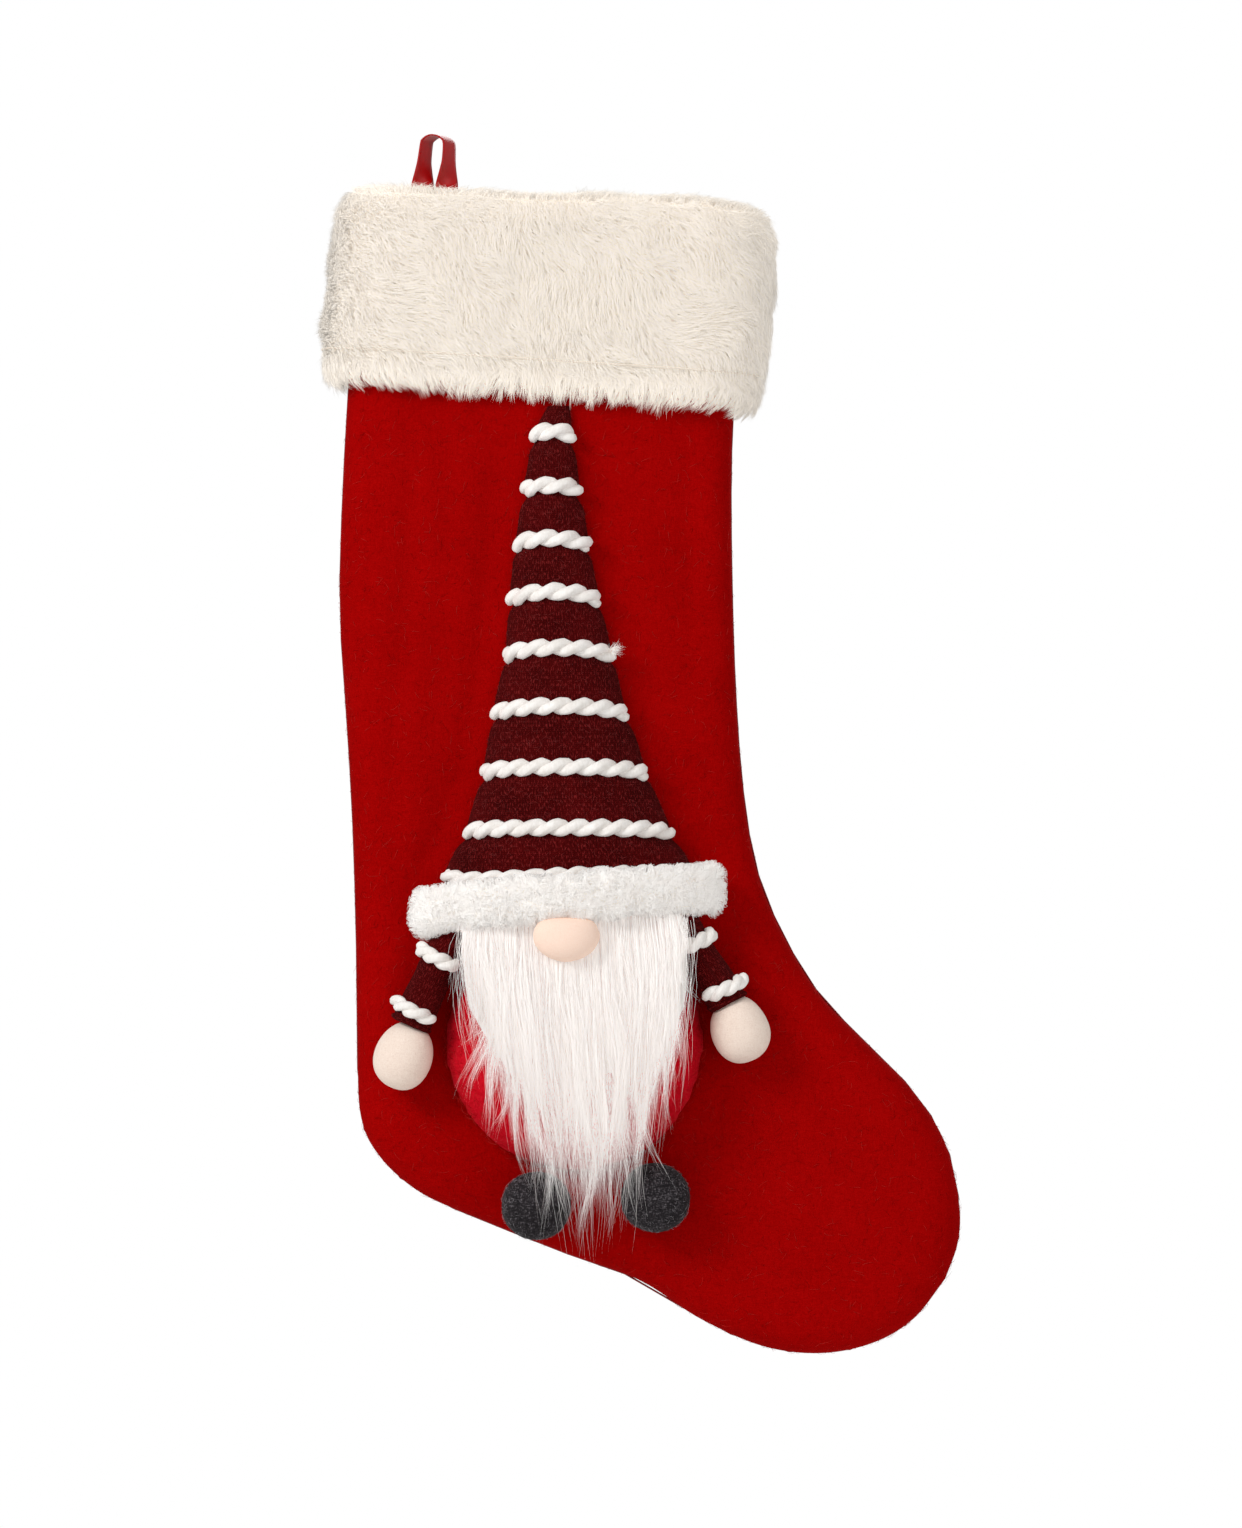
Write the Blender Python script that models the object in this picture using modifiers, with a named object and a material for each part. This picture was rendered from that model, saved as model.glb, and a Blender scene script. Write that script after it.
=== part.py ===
"""Christmas stocking with a fur cuff, a ribbon loop and a stuffed gnome sewn on its front.

Frame: metres, +Z up as the stocking hangs, its front faces -Y, its toe points to +X.
The origin is the inside of the ribbon loop's crown, where the hook goes.
Lengths below are millimetres, with y = 0 on the bag's seam plane; point() makes them world metres.
"""
import math

import bmesh
import bpy
from mathutils import Vector

MM = 0.001
GAP = 0.4  # clear space between two parts that lie on each other
LOOP_Y = -4.0  # the ribbon loop stands this far in front of the seam plane, nearly over the centre of mass

# Bag: half depths either side of the seam plane y = 0, and how far in from the edge they are reached
BAG_FRONT = 17.0
BAG_BACK = 15.0
EDGE_FRONT = 24.0
EDGE_BACK = 20.0
SEAM_HALF_GAP = 0.75
SHELL_THICK = 1.6
LINING_INSET = 2.8
LINING_THICK = 1.0
LINING_DROP = 2.0
SEAM_THREAD_RADIUS = 0.4
RIBS = 26
ACROSS = 10

# Bag outline from the mouth to the tip of the toe, as (x, z)
HEEL_SIDE = [
    (-33, -33), (-36, -90), (-39, -140), (-41, -200), (-38.5, -245), (-35.8, -288), (-34, -340),
    (-33.3, -390), (-32.2, -424), (-24, -442.5), (-6, -458.5), (20, -470), (55, -484), (89, -496.5),
    (115, -513), (142, -525), (167, -528.3), (190, -524), (208, -513.5), (222, -496),
]
TOE_SIDE = [
    (134.5, -43.5), (131.5, -90), (129, -140), (129.2, -190), (130.8, -240), (134, -283), (140, -318),
    (151, -345.5), (167, -372), (187, -393), (208, -414.5), (222, -437), (228, -463), (227.5, -480),
    (222, -496),
]

# Cuff, measured down its own slanted height
CUFF_TILT = math.radians(3.67)
CUFF_TOP = (54.8, 0.0, -27.4)
CUFF_SHIFT = -3.2
BAG_TOP_HALF = 83.8
FACING_GAP = 1.2
CUFF_FRONT = 27.0
CUFF_BACK = 23.5
CUFF_EDGE_FRONT = 34.0
CUFF_EDGE_BACK = 32.0
CUFF_HOLE_CLEAR = 1.6
CUFF_FOLD_DOWN = 6.2  # where the cuff's top turns in over the bag's raw edge
CUFF_LIP_DOWN = 2.0
CUFF_LIP_GROW = 0.6
CUFF_SECTIONS = [  # down, shift, half width, share of the depth
    (0.0, 0.0, 84.0, 0.72), (3.0, -0.3, 91.0, 0.88), (12.0, -0.8, 95.5, 0.98), (35.0, -1.6, 97.2, 1.0),
    (58.0, -2.6, 97.5, 1.0), (68.0, -2.9, 96.6, 0.95), (71.0, -3.0, 95.0, 0.9),
]
HEM_SECTIONS = [
    (71.6, -3.0, 94.6, 0.88), (75.0, -3.0, 96.0, 0.95), (82.0, -3.0, 95.5, 0.97), (88.0, -3.0, 93.0, 0.9),
]
HEM_HOLE_CLEAR = 1.8
HEM_HOLE_BOTTOM = 87.0
HEM_THREAD = (71.3, -3.0, 96.4, 0.93)  # down, shift, half width, share of the depth
HEM_THREAD_RADIUS = 0.5
FACING_TOP = 8.6
FACING_DEPTH = 38.0
FACING_THICK = 3.5

# Ribbon loop and the line where it bends
RIBBON_WIDTH = 10.0
RIBBON_THICK = 0.8
LOOP_HALF = 5.25
HINGE_Z = -24.0
TAIL_END_Z = -54.0
TAIL_Y = 5.7
TAIL_PATH = [  # y, z
    (LOOP_Y, HINGE_Z - 0.5), (LOOP_Y + 1, -28.0), (3.4, -36.0), (TAIL_Y, -41.0), (TAIL_Y, TAIL_END_Z),
]
LOOP_LEG = [(-23.6, 90), (-20.5, 78), (-17, 58), (-13.5, 40), (-10, 30)]  # z, turn of the ribbon in degrees
CROWN_TURN = 30
TACK_SIZE = (17.0, 0.5, 3.0)
TACK_Z = -48.0
TACK_GAP = 0.3

# Gnome, sewn on the flat of the bag's front
GNOME_Y = -17.5
HAT_LEVELS = [  # z, left, right, depth
    (-117, 49, 59.5, 4.5), (-130, 41.9, 61.7, 8), (-154, 38, 64.3, 10.5), (-178, 34.1, 68.6, 12.5),
    (-202, 31.9, 72.9, 14.5), (-224, 30.2, 78.1, 16.5), (-250, 25, 84.6, 19), (-276, 20.3, 93.2, 21.5),
    (-301, 12.9, 104, 23.5), (-318, 4.5, 113.5, 24.8), (-329, 3, 115, 24.8),
]
HAT_THICK = 1.2
HAT_CORD_Z = [-130.5, -154.5, -178, -201.5, -225, -250.5, -275.5, -300.5, -313.5]
HAT_CORD_RADIUS = 3.3
HAT_CORD_CLEAR = 0.9
BRIM_ENDS_X = (-1.5, 117.5)
BRIM_LINE_Z = [-337.5, -334.5, -330.5, -327.5, -326.0]
BRIM_HALF_HEIGHT = 12.0
BRIM_HALF_THICK = 4.8
BRIM_WIDEN = 1.045
BRIM_START = 6.0  # how far its ends stand in front of the gnome's back, then how far it bows out from there
BRIM_BOW = 25.2
BRIM_END_SIZE = 0.75
BELLY_CENTRE = (61.3, -391.0)
BELLY_HALF = (57.5, 26.0, 58.0)
COVER_THICK = 1.2
STUFFING_GAP = 1.4
NOSE_CENTRE = (57.8, -49.5, -351.5)
NOSE_HALF = (14.7, 8.5, 8.6)
BEARD_HINGE = (62.5, -43.0, -365.0)
BEARD_LEVELS = [  # z, left, right, back y
    (-366.5, 14, 105, -41.5), (-385, 14, 106, -44.6), (-410, 18, 106, -44.8), (-430, 25, 102, -44.8),
    (-448, 33, 97, -44.5), (-463, 43, 89, -44.2), (-480, 60, 80, -43.8),
]
BEARD_BASE_LEVELS = [(-343.5, -34.0), (-353.0, -37.6), (-362.5, -40.9)]  # z, back y
BEARD_BASE_X = (14, 104)
BEARD_BASE_THICK = 2.4
BACKING_THICK = 1.0
BEARD_THICK = 7.0

# Arms as (shoulder x, z), (wrist x, z), and feet as (centre x, z)
SIDES = {"left": -1, "right": 1}
ARM_Y = -28.7
SHOULDER = {"left": (2.0, -359.0), "right": (117.4, -352.5)}
WRIST = {"left": (-9.4, -384.5), "right": (127.0, -375.0)}
SLEEVE_TOP_R = 8.8
SLEEVE_WRIST_R = 8.6
SLEEVE_THICK = 1.0
ARM_CORD_RADIUS = 2.5
SLEEVE_HEM_RADIUS = 0.9
WRAP_INNER = -45
WRAP_OUTER = 95
UPPER_CORD_DOWN = 7.0
WRIST_CORD_UP = 6.5
SLEEVE_HEM_UP = 1.6
MITTEN_GAP = 0.8
MITTEN_HALF = (13.0, 10.2, 14.2)
FOOT_CENTRE = {"left": (44.7, -465.5), "right": (95.8, -462.0)}
FOOT_HALF = (14.3, 11.5, 14.0)
FOOT_Y = -30.3

COLOURS = {  # linear red, green, blue, then roughness
    "red_felt": ((0.33, 0.004, 0.003), 0.95),
    "bright_red_felt": ((0.42, 0.006, 0.010), 0.95),
    "cream_fur": ((0.82, 0.72, 0.60), 1.0),
    "red_satin": ((0.42, 0.008, 0.006), 0.35),
    "lining": ((0.30, 0.01, 0.01), 0.8),
    "thread": ((0.30, 0.01, 0.01), 0.7),
    "cream_thread": ((0.75, 0.66, 0.55), 0.7),
    "burgundy_knit": ((0.075, 0.006, 0.010), 0.95),
    "white_cord": ((0.85, 0.83, 0.79), 0.85),
    "white_sherpa": ((0.86, 0.84, 0.80), 1.0),
    "white_fur": ((0.88, 0.86, 0.84), 0.7),
    "peach_fabric": ((0.90, 0.56, 0.42), 0.8),
    "cream_felt": ((0.78, 0.69, 0.57), 0.95),
    "charcoal_felt": ((0.045, 0.048, 0.056), 0.95),
    "stuffing": ((0.85, 0.85, 0.83), 1.0),
}


def point(x, y, z):
    """World metres of a place given from the seam plane."""
    return Vector((x, y - LOOP_Y, z)) * MM


def local(x, y, z):
    """Metres from an object's own origin."""
    return Vector((x, y, z)) * MM


def clear_scene():
    for obj in list(bpy.data.objects):
        bpy.data.objects.remove(obj, do_unlink=True)


def material(name):
    found = bpy.data.materials.get(name)
    if found:
        return found
    colour, roughness = COLOURS[name]
    made = bpy.data.materials.new(name)
    made.use_nodes = True
    shader = made.node_tree.nodes["Principled BSDF"]
    shader.inputs["Base Color"].default_value = (*colour, 1.0)
    shader.inputs["Roughness"].default_value = roughness
    shader.inputs["Metallic"].default_value = 0.0
    return made


def add_object(name, data, slot, pivot=None):
    obj = bpy.data.objects.new(name, data)
    data.materials.append(material(slot))
    PARTS.objects.link(obj)
    if pivot:
        obj.parent = pivot
        obj.matrix_parent_inverse = pivot.matrix_world.inverted()
    return obj


def add_bmesh(name, bm, slot, pivot=None):
    mesh = bpy.data.meshes.new(name)
    bm.to_mesh(mesh)
    bm.free()
    mesh.shade_smooth()
    mesh.set_sharp_from_angle(angle=math.radians(50))
    return add_object(name, mesh, slot, pivot)


def add_pivot(name, x, y, z):
    pivot = bpy.data.objects.new(name, None)
    pivot.empty_display_size = 0.02
    pivot.location = point(x, y, z)
    PARTS.objects.link(pivot)
    bpy.context.view_layer.update()
    return pivot


def add_solidify(obj, thickness, offset=-1.0):
    modifier = obj.modifiers.new("thickness", "SOLIDIFY")
    modifier.thickness = thickness * MM
    modifier.offset = offset
    modifier.use_rim = True
    return modifier


def smooth_path(points, steps):
    """Catmull-Rom curve through the points, as evenly spaced samples."""
    points = [Vector(p) for p in points]
    ends = [2 * points[0] - points[1]] + points + [2 * points[-1] - points[-2]]
    dense = []
    for i in range(len(points) - 1):
        a, b, c, d = ends[i:i + 4]
        for k in range(12):
            t = k / 12
            dense.append(0.5 * (2 * b + (c - a) * t + (2 * a - 5 * b + 4 * c - d) * t ** 2
                                + (3 * b - a - 3 * c + d) * t ** 3))
    dense.append(points[-1])
    along = [0.0]
    for a, b in zip(dense, dense[1:]):
        along.append(along[-1] + (b - a).length)
    samples = []
    k = 0
    for i in range(steps + 1):
        want = along[-1] * i / steps
        while k < len(dense) - 2 and along[k + 1] < want:
            k += 1
        share = (want - along[k]) / max(along[k + 1] - along[k], 1e-9)
        samples.append(dense[k].lerp(dense[k + 1], min(max(share, 0.0), 1.0)))
    return samples


def round_over(distance, edge):
    """Share of the full depth at a distance from the edge: a quarter superellipse, then flat."""
    share = min(max(distance / edge, 0.0), 1.0)
    return (1.0 - (1.0 - share) ** 2.2) ** (1 / 2.2)


def inset_side(side, inset, inward):
    """A side of the outline moved inward by inset; inward is the turn from its direction."""
    moved = []
    for i, spot in enumerate(side):
        ahead = side[min(i + 1, len(side) - 1)] - side[max(i - 1, 0)]
        normal = Vector((-ahead.y, ahead.x)).normalized() * inward
        moved.append(spot + normal * inset)
    return moved


def distance_to(spot, line):
    best = 1e9
    for a, b in zip(line, line[1:]):
        run = b - a
        share = min(max((spot - a).dot(run) / max(run.dot(run), 1e-9), 0.0), 1.0)
        best = min(best, (a + run * share - spot).length)
    return best


def distance_to_sides(spot, heel, toe):
    return min(distance_to(spot, heel), distance_to(spot, toe))


def bag_panel(name, slot, facing, inset, thickness, drop=0.0):
    """One panel of the bag: a grid of ribs from the heel side to the toe side, domed to its depth."""
    heel = inset_side(smooth_path(HEEL_SIDE, RIBS), inset, 1)
    toe = inset_side(smooth_path(TOE_SIDE, RIBS), inset, -1)
    tip = (heel[-1] + toe[-1]) / 2
    heel[-1] = tip
    toe[-1] = tip
    heel[0] = heel[0] - Vector((0, drop))
    toe[0] = toe[0] - Vector((0, drop))
    outline = heel + toe[::-1]
    depth = (BAG_FRONT if facing < 0 else BAG_BACK) - inset
    edge = (EDGE_FRONT if facing < 0 else EDGE_BACK) - inset
    bm = bmesh.new()
    bmesh.ops.create_grid(bm, x_segments=ACROSS, y_segments=RIBS, size=1.0)
    for vert in bm.verts:
        rib = round((vert.co.y + 1) / 2 * RIBS)
        share = 0.5 - 0.5 * math.cos(math.pi * (vert.co.x + 1) / 2)
        spot = heel[rib].lerp(toe[rib], share)
        rise = round_over(distance_to_sides(spot, heel, toe), edge) * depth
        vert.co = point(spot.x, facing * (SEAM_HALF_GAP + rise * (depth - SEAM_HALF_GAP) / depth), spot.y)
    bmesh.ops.remove_doubles(bm, verts=bm.verts, dist=1e-6)
    bm.normal_update()
    if sum(face.normal.y * face.calc_area() for face in bm.faces) * facing < 0:
        bmesh.ops.reverse_faces(bm, faces=bm.faces)
    obj = add_bmesh(name, bm, slot, STOCKING)
    add_solidify(obj, thickness)
    return outline


def add_tube(name, points, radius, slot, pivot=None, sides=1, closed=False, place=point):
    curve = bpy.data.curves.new(name, "CURVE")
    curve.dimensions = "3D"
    curve.bevel_depth = radius * MM
    curve.bevel_resolution = sides
    curve.use_fill_caps = not closed
    spline = curve.splines.new("POLY")
    spline.points.add(len(points) - 1)
    for knot, spot in zip(spline.points, points):
        knot.co = (*place(*spot), 1.0)
    spline.use_cyclic_u = closed
    return add_object(name, curve, slot, pivot)


def add_loft(name, rings, slot, pivot=None, closed=False, place=point):
    """A closed solid through rings with the same number of points; closed joins the last to the first."""
    bm = bmesh.new()
    rows = [[bm.verts.new(place(*spot)) for spot in ring] for ring in rings]
    pairs = list(zip(rows, rows[1:]))
    if closed:
        pairs.append((rows[-1], rows[0]))
    for low, high in pairs:
        for i in range(len(low)):
            j = (i + 1) % len(low)
            bm.faces.new((low[i], low[j], high[j], high[i]))
    if not closed:
        bm.faces.new(rows[0][::-1])
        bm.faces.new(rows[-1])
    bmesh.ops.recalc_face_normals(bm, faces=bm.faces)
    return add_bmesh(name, bm, slot, pivot)


def slab_ring(shift, half_width, front, back, down, edge_front, edge_back, across=12):
    """A level ring round a slab with rounded sides, in the cuff's own axes."""
    ring = []
    for i in range(across + 1):
        u = -half_width * math.cos(math.pi * i / across)
        rise = round_over(half_width - abs(u), edge_front)
        ring.append((shift + u, -front * rise, -down))
    for i in range(across - 1, 0, -1):
        u = -half_width * math.cos(math.pi * i / across)
        rise = round_over(half_width - abs(u), edge_back)
        ring.append((shift + u, back * rise, -down))
    return ring


def place_cuff(obj):
    obj.location = point(*CUFF_TOP)
    obj.rotation_euler = (0.0, CUFF_TILT, 0.0)


def outer_ring(down, shift, half, share):
    return slab_ring(shift, half, CUFF_FRONT * share, CUFF_BACK * share, down,
                     CUFF_EDGE_FRONT, CUFF_EDGE_BACK)


def hole_ring(down, extra):
    """The ring that clears the bag by extra."""
    return slab_ring(CUFF_SHIFT, BAG_TOP_HALF + extra, BAG_FRONT + extra, BAG_BACK + extra, down,
                     EDGE_FRONT, EDGE_BACK)


def make_cuff():
    inside = LINING_INSET + LINING_THICK + FACING_GAP + FACING_THICK
    inner_half = BAG_TOP_HALF - inside
    inner_front = BAG_FRONT - inside
    inner_back = BAG_BACK - inside

    def facing_ring(grow, down):
        return slab_ring(CUFF_SHIFT, inner_half + grow, inner_front + grow, inner_back + grow, down,
                         EDGE_FRONT - inside + grow, EDGE_BACK - inside + grow)

    body = [outer_ring(*section) for section in CUFF_SECTIONS]
    body += [hole_ring(CUFF_SECTIONS[-1][0], CUFF_HOLE_CLEAR), hole_ring(FACING_TOP - 0.1, CUFF_HOLE_CLEAR)]
    body += [hole_ring(CUFF_FOLD_DOWN, 0.0), facing_ring(0.0, CUFF_FOLD_DOWN)]
    body += [facing_ring(CUFF_LIP_GROW, CUFF_LIP_DOWN)]
    place_cuff(add_loft("cuff_fur", body, "cream_fur", STOCKING, closed=True, place=local))

    hem = [outer_ring(*section) for section in HEM_SECTIONS]
    hem += [hole_ring(HEM_HOLE_BOTTOM, HEM_HOLE_CLEAR), hole_ring(HEM_SECTIONS[0][0], HEM_HOLE_CLEAR)]
    place_cuff(add_loft("cuff_hem", hem, "cream_fur", STOCKING, closed=True, place=local))

    facing = [facing_ring(FACING_THICK, FACING_TOP), facing_ring(FACING_THICK, FACING_DEPTH)]
    facing += [facing_ring(0.0, FACING_DEPTH), facing_ring(0.0, FACING_TOP)]
    place_cuff(add_loft("cuff_facing", facing, "cream_fur", STOCKING, closed=True, place=local))

    thread = add_tube("cuff_hem_thread", outer_ring(*HEM_THREAD), HEM_THREAD_RADIUS, "cream_thread", STOCKING,
                      0, closed=True, place=local)
    place_cuff(thread)


def ribbon_section(x, y, z, across, through):
    """Four corners of the ribbon: across is its width direction and through its thickness."""
    centre = Vector((x, y, z))
    wide = across.normalized() * RIBBON_WIDTH / 2
    thin = through.normalized() * RIBBON_THICK / 2
    return [centre - wide - thin, centre + wide - thin, centre + wide + thin, centre - wide + thin]


def loop_path():
    """The loop's middle line from one leg's end to the other's, with how far it is turned from Y."""
    crown_z = RIBBON_THICK / 2 - LOOP_HALF
    spots = [(-LOOP_HALF, z, turn) for z, turn in LOOP_LEG]
    for k in range(13):
        angle = math.pi * (1 - k / 12)
        spots.append((LOOP_HALF * math.cos(angle), crown_z + LOOP_HALF * math.sin(angle), CROWN_TURN))
    spots += [(LOOP_HALF, z, turn) for z, turn in reversed(LOOP_LEG)]
    return spots


def make_loop():
    spots = loop_path()
    rings = []
    for i, (x, z, turn) in enumerate(spots):
        before = spots[max(i - 1, 0)]
        after = spots[min(i + 1, len(spots) - 1)]
        tangent = Vector((after[0] - before[0], 0, after[1] - before[1]))
        across = Vector((math.sin(math.radians(turn)), math.cos(math.radians(turn)), 0))
        rings.append(ribbon_section(x, LOOP_Y, z, across, tangent.cross(across)))
    add_loft("hanging_loop", rings, "red_satin")

    for name, side in SIDES.items():
        x = side * LOOP_HALF
        rings = [ribbon_section(x, y, z, Vector((1, 0, 0)), Vector((0, 1, 0))) for y, z in TAIL_PATH]
        add_loft(f"loop_tail_{name}", rings, "red_satin", STOCKING)

    bm = bmesh.new()
    bmesh.ops.create_cube(bm, size=1.0)
    for vert in bm.verts:
        vert.co = local(*(side * size for side, size in zip(vert.co, TACK_SIZE)))
    tack = add_bmesh("loop_bar_tack", bm, "thread", STOCKING)
    tack.location = point(0, TAIL_Y - RIBBON_THICK / 2 - TACK_GAP - TACK_SIZE[1] / 2, TACK_Z)


def hat_at(z):
    """The hat's middle x, half width and depth at a height."""
    for (z1, l1, r1, d1), (z2, l2, r2, d2) in zip(HAT_LEVELS, HAT_LEVELS[1:]):
        if z2 <= z <= z1:
            s = (z1 - z) / (z1 - z2)
            left, right = l1 + (l2 - l1) * s, r1 + (r2 - r1) * s
            return (left + right) / 2, (right - left) / 2, d1 + (d2 - d1) * s
    raise ValueError(z)


def hat_arc(z, grow, first, last, count):
    """Points round the hat's front at a height, grow outside it, between two angles in degrees."""
    middle, half, depth = hat_at(z)
    arc = []
    for i in range(count + 1):
        angle = math.radians(first + (last - first) * i / count)
        arc.append((middle - (half + grow) * math.cos(angle), GNOME_Y - (depth + grow) * math.sin(angle), z))
    return arc


def make_hat():
    count = 10
    bm = bmesh.new()
    bmesh.ops.create_grid(bm, x_segments=count, y_segments=len(HAT_LEVELS) - 1, size=1.0)
    for vert in bm.verts:
        level = round((1 - vert.co.y) / 2 * (len(HAT_LEVELS) - 1))
        step = round((vert.co.x + 1) / 2 * count)
        vert.co = point(*hat_arc(HAT_LEVELS[level][0], 0, 0, 180, count)[step])
    bm.normal_update()
    if sum(face.normal.y for face in bm.faces) > 0:
        bmesh.ops.reverse_faces(bm, faces=bm.faces)
    add_solidify(add_bmesh("hat_shell", bm, "burgundy_knit", STOCKING), HAT_THICK)

    inside = -HAT_THICK - STUFFING_GAP
    rings = [hat_arc(level[0], inside, 0, 180, count) for level in HAT_LEVELS[1:]]
    add_loft("hat_stuffing", rings, "stuffing", STOCKING)

    for i, z in enumerate(HAT_CORD_Z, 1):
        grow = HAT_CORD_RADIUS + HAT_CORD_CLEAR
        depth = hat_at(z)[2] + grow
        first = math.degrees(math.asin((HAT_CORD_RADIUS + GAP) / depth))
        arc = hat_arc(z, grow, first, 180 - first, 10)
        add_tube(f"hat_cord_{i}", arc, HAT_CORD_RADIUS, "white_cord", STOCKING)


def make_brim():
    stations = 12
    left, right = BRIM_ENDS_X
    rings = []
    for i in range(stations + 1):
        angle = math.pi * (1 - i / stations)
        share = i / stations
        k = min(int(share * 4), 3)
        z = BRIM_LINE_Z[k] + (BRIM_LINE_Z[k + 1] - BRIM_LINE_Z[k]) * (share * 4 - k)
        x = (left + right) / 2 + (right - left) / 2 * math.cos(angle) * BRIM_WIDEN
        y = GNOME_Y - BRIM_START - BRIM_BOW * math.sin(angle)
        out = Vector((math.cos(angle), -1.3 * math.sin(angle), 0)).normalized()
        size = BRIM_END_SIZE if i in (0, stations) else 1.0
        ring = []
        for k in range(10):
            turn = 2 * math.pi * k / 10
            ring.append(Vector((x, y, z)) + out * BRIM_HALF_THICK * size * math.cos(turn)
                        + Vector((0, 0, BRIM_HALF_HEIGHT * size * math.sin(turn))))
        rings.append(ring)
    add_loft("hat_brim", rings, "white_sherpa", STOCKING)


def half_ellipsoid(half, shrink, segments=20, rings=12):
    """The front half of an ellipsoid that lies on the bag, shrunk all round."""
    bm = bmesh.new()
    bmesh.ops.create_uvsphere(bm, u_segments=segments, v_segments=rings, radius=1.0)
    for vert in bm.verts:
        vert.co = local(vert.co.x * (half[0] - shrink), vert.co.z * (half[1] - shrink),
                        vert.co.y * (half[2] - shrink))
    cut = bmesh.ops.bisect_plane(bm, geom=bm.verts[:] + bm.edges[:] + bm.faces[:], dist=1e-7,
                                 plane_co=(0, -shrink * MM, 0), plane_no=(0, 1, 0), clear_outer=True)
    bmesh.ops.recalc_face_normals(bm, faces=bm.faces)
    return bm, cut


def make_belly():
    x, z = BELLY_CENTRE
    bm = half_ellipsoid(BELLY_HALF, 0.0)[0]
    bm.normal_update()
    if sum(face.normal.y for face in bm.faces) > 0:
        bmesh.ops.reverse_faces(bm, faces=bm.faces)
    cover = add_bmesh("belly_cover", bm, "bright_red_felt", STOCKING)
    cover.location = point(x, GNOME_Y, z)
    add_solidify(cover, COVER_THICK)
    bm, cut = half_ellipsoid(BELLY_HALF, COVER_THICK + STUFFING_GAP, 14, 8)
    edges = [item for item in cut["geom_cut"] if isinstance(item, bmesh.types.BMEdge)]
    bmesh.ops.holes_fill(bm, edges=edges)
    bmesh.ops.recalc_face_normals(bm, faces=bm.faces)
    stuffing = add_bmesh("belly_stuffing", bm, "stuffing", STOCKING)
    stuffing.location = point(x, GNOME_Y, z)


def add_ellipsoid(name, centre, half, slot, pivot, tilt=0.0, segments=14, rings=8):
    bm = bmesh.new()
    bmesh.ops.create_uvsphere(bm, u_segments=segments, v_segments=rings, radius=1.0)
    for vert in bm.verts:
        vert.co = local(vert.co.x * half[0], vert.co.y * half[1], vert.co.z * half[2])
    obj = add_bmesh(name, bm, slot, pivot)
    obj.location = point(*centre)
    obj.rotation_euler = (0.0, tilt, 0.0)
    return obj


def flap_ring(z, left, right, back, front):
    """A level ring of a flap between two depths, thinner at its two sides."""
    mid = (back + front) / 2
    eighth = (right - left) / 8
    stops = (left + eighth, (left + right) / 2, right - eighth)
    return [(left, mid, z), *((x, front, z) for x in stops),
            (right, mid, z), *((x, back, z) for x in reversed(stops))]


def make_beard():
    add_ellipsoid("nose", NOSE_CENTRE, NOSE_HALF, "peach_fabric", STOCKING)
    base = [flap_ring(z, *BEARD_BASE_X, y, y - BEARD_BASE_THICK) for z, y in BEARD_BASE_LEVELS]
    add_loft("beard_base", base, "white_fur", STOCKING)
    pivot = add_pivot("beard_pivot", *BEARD_HINGE)
    backing = [flap_ring(z, l, r, y, y - BACKING_THICK) for z, l, r, y in BEARD_LEVELS]
    add_loft("beard_backing", backing, "white_fur", pivot)
    start = BACKING_THICK + GAP
    fur = [flap_ring(z, l, r, y - start, y - BEARD_THICK) for z, l, r, y in BEARD_LEVELS]
    add_loft("beard_fur", fur, "white_fur", pivot)


def arm_frame(name):
    """The arm's shoulder, its unit direction, its length and its sideways unit vector."""
    start = Vector((SHOULDER[name][0], ARM_Y, SHOULDER[name][1]))
    end = Vector((WRIST[name][0], ARM_Y, WRIST[name][1]))
    along = (end - start).normalized()
    return start, along, (end - start).length, Vector((0, 1, 0)).cross(along)


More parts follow.
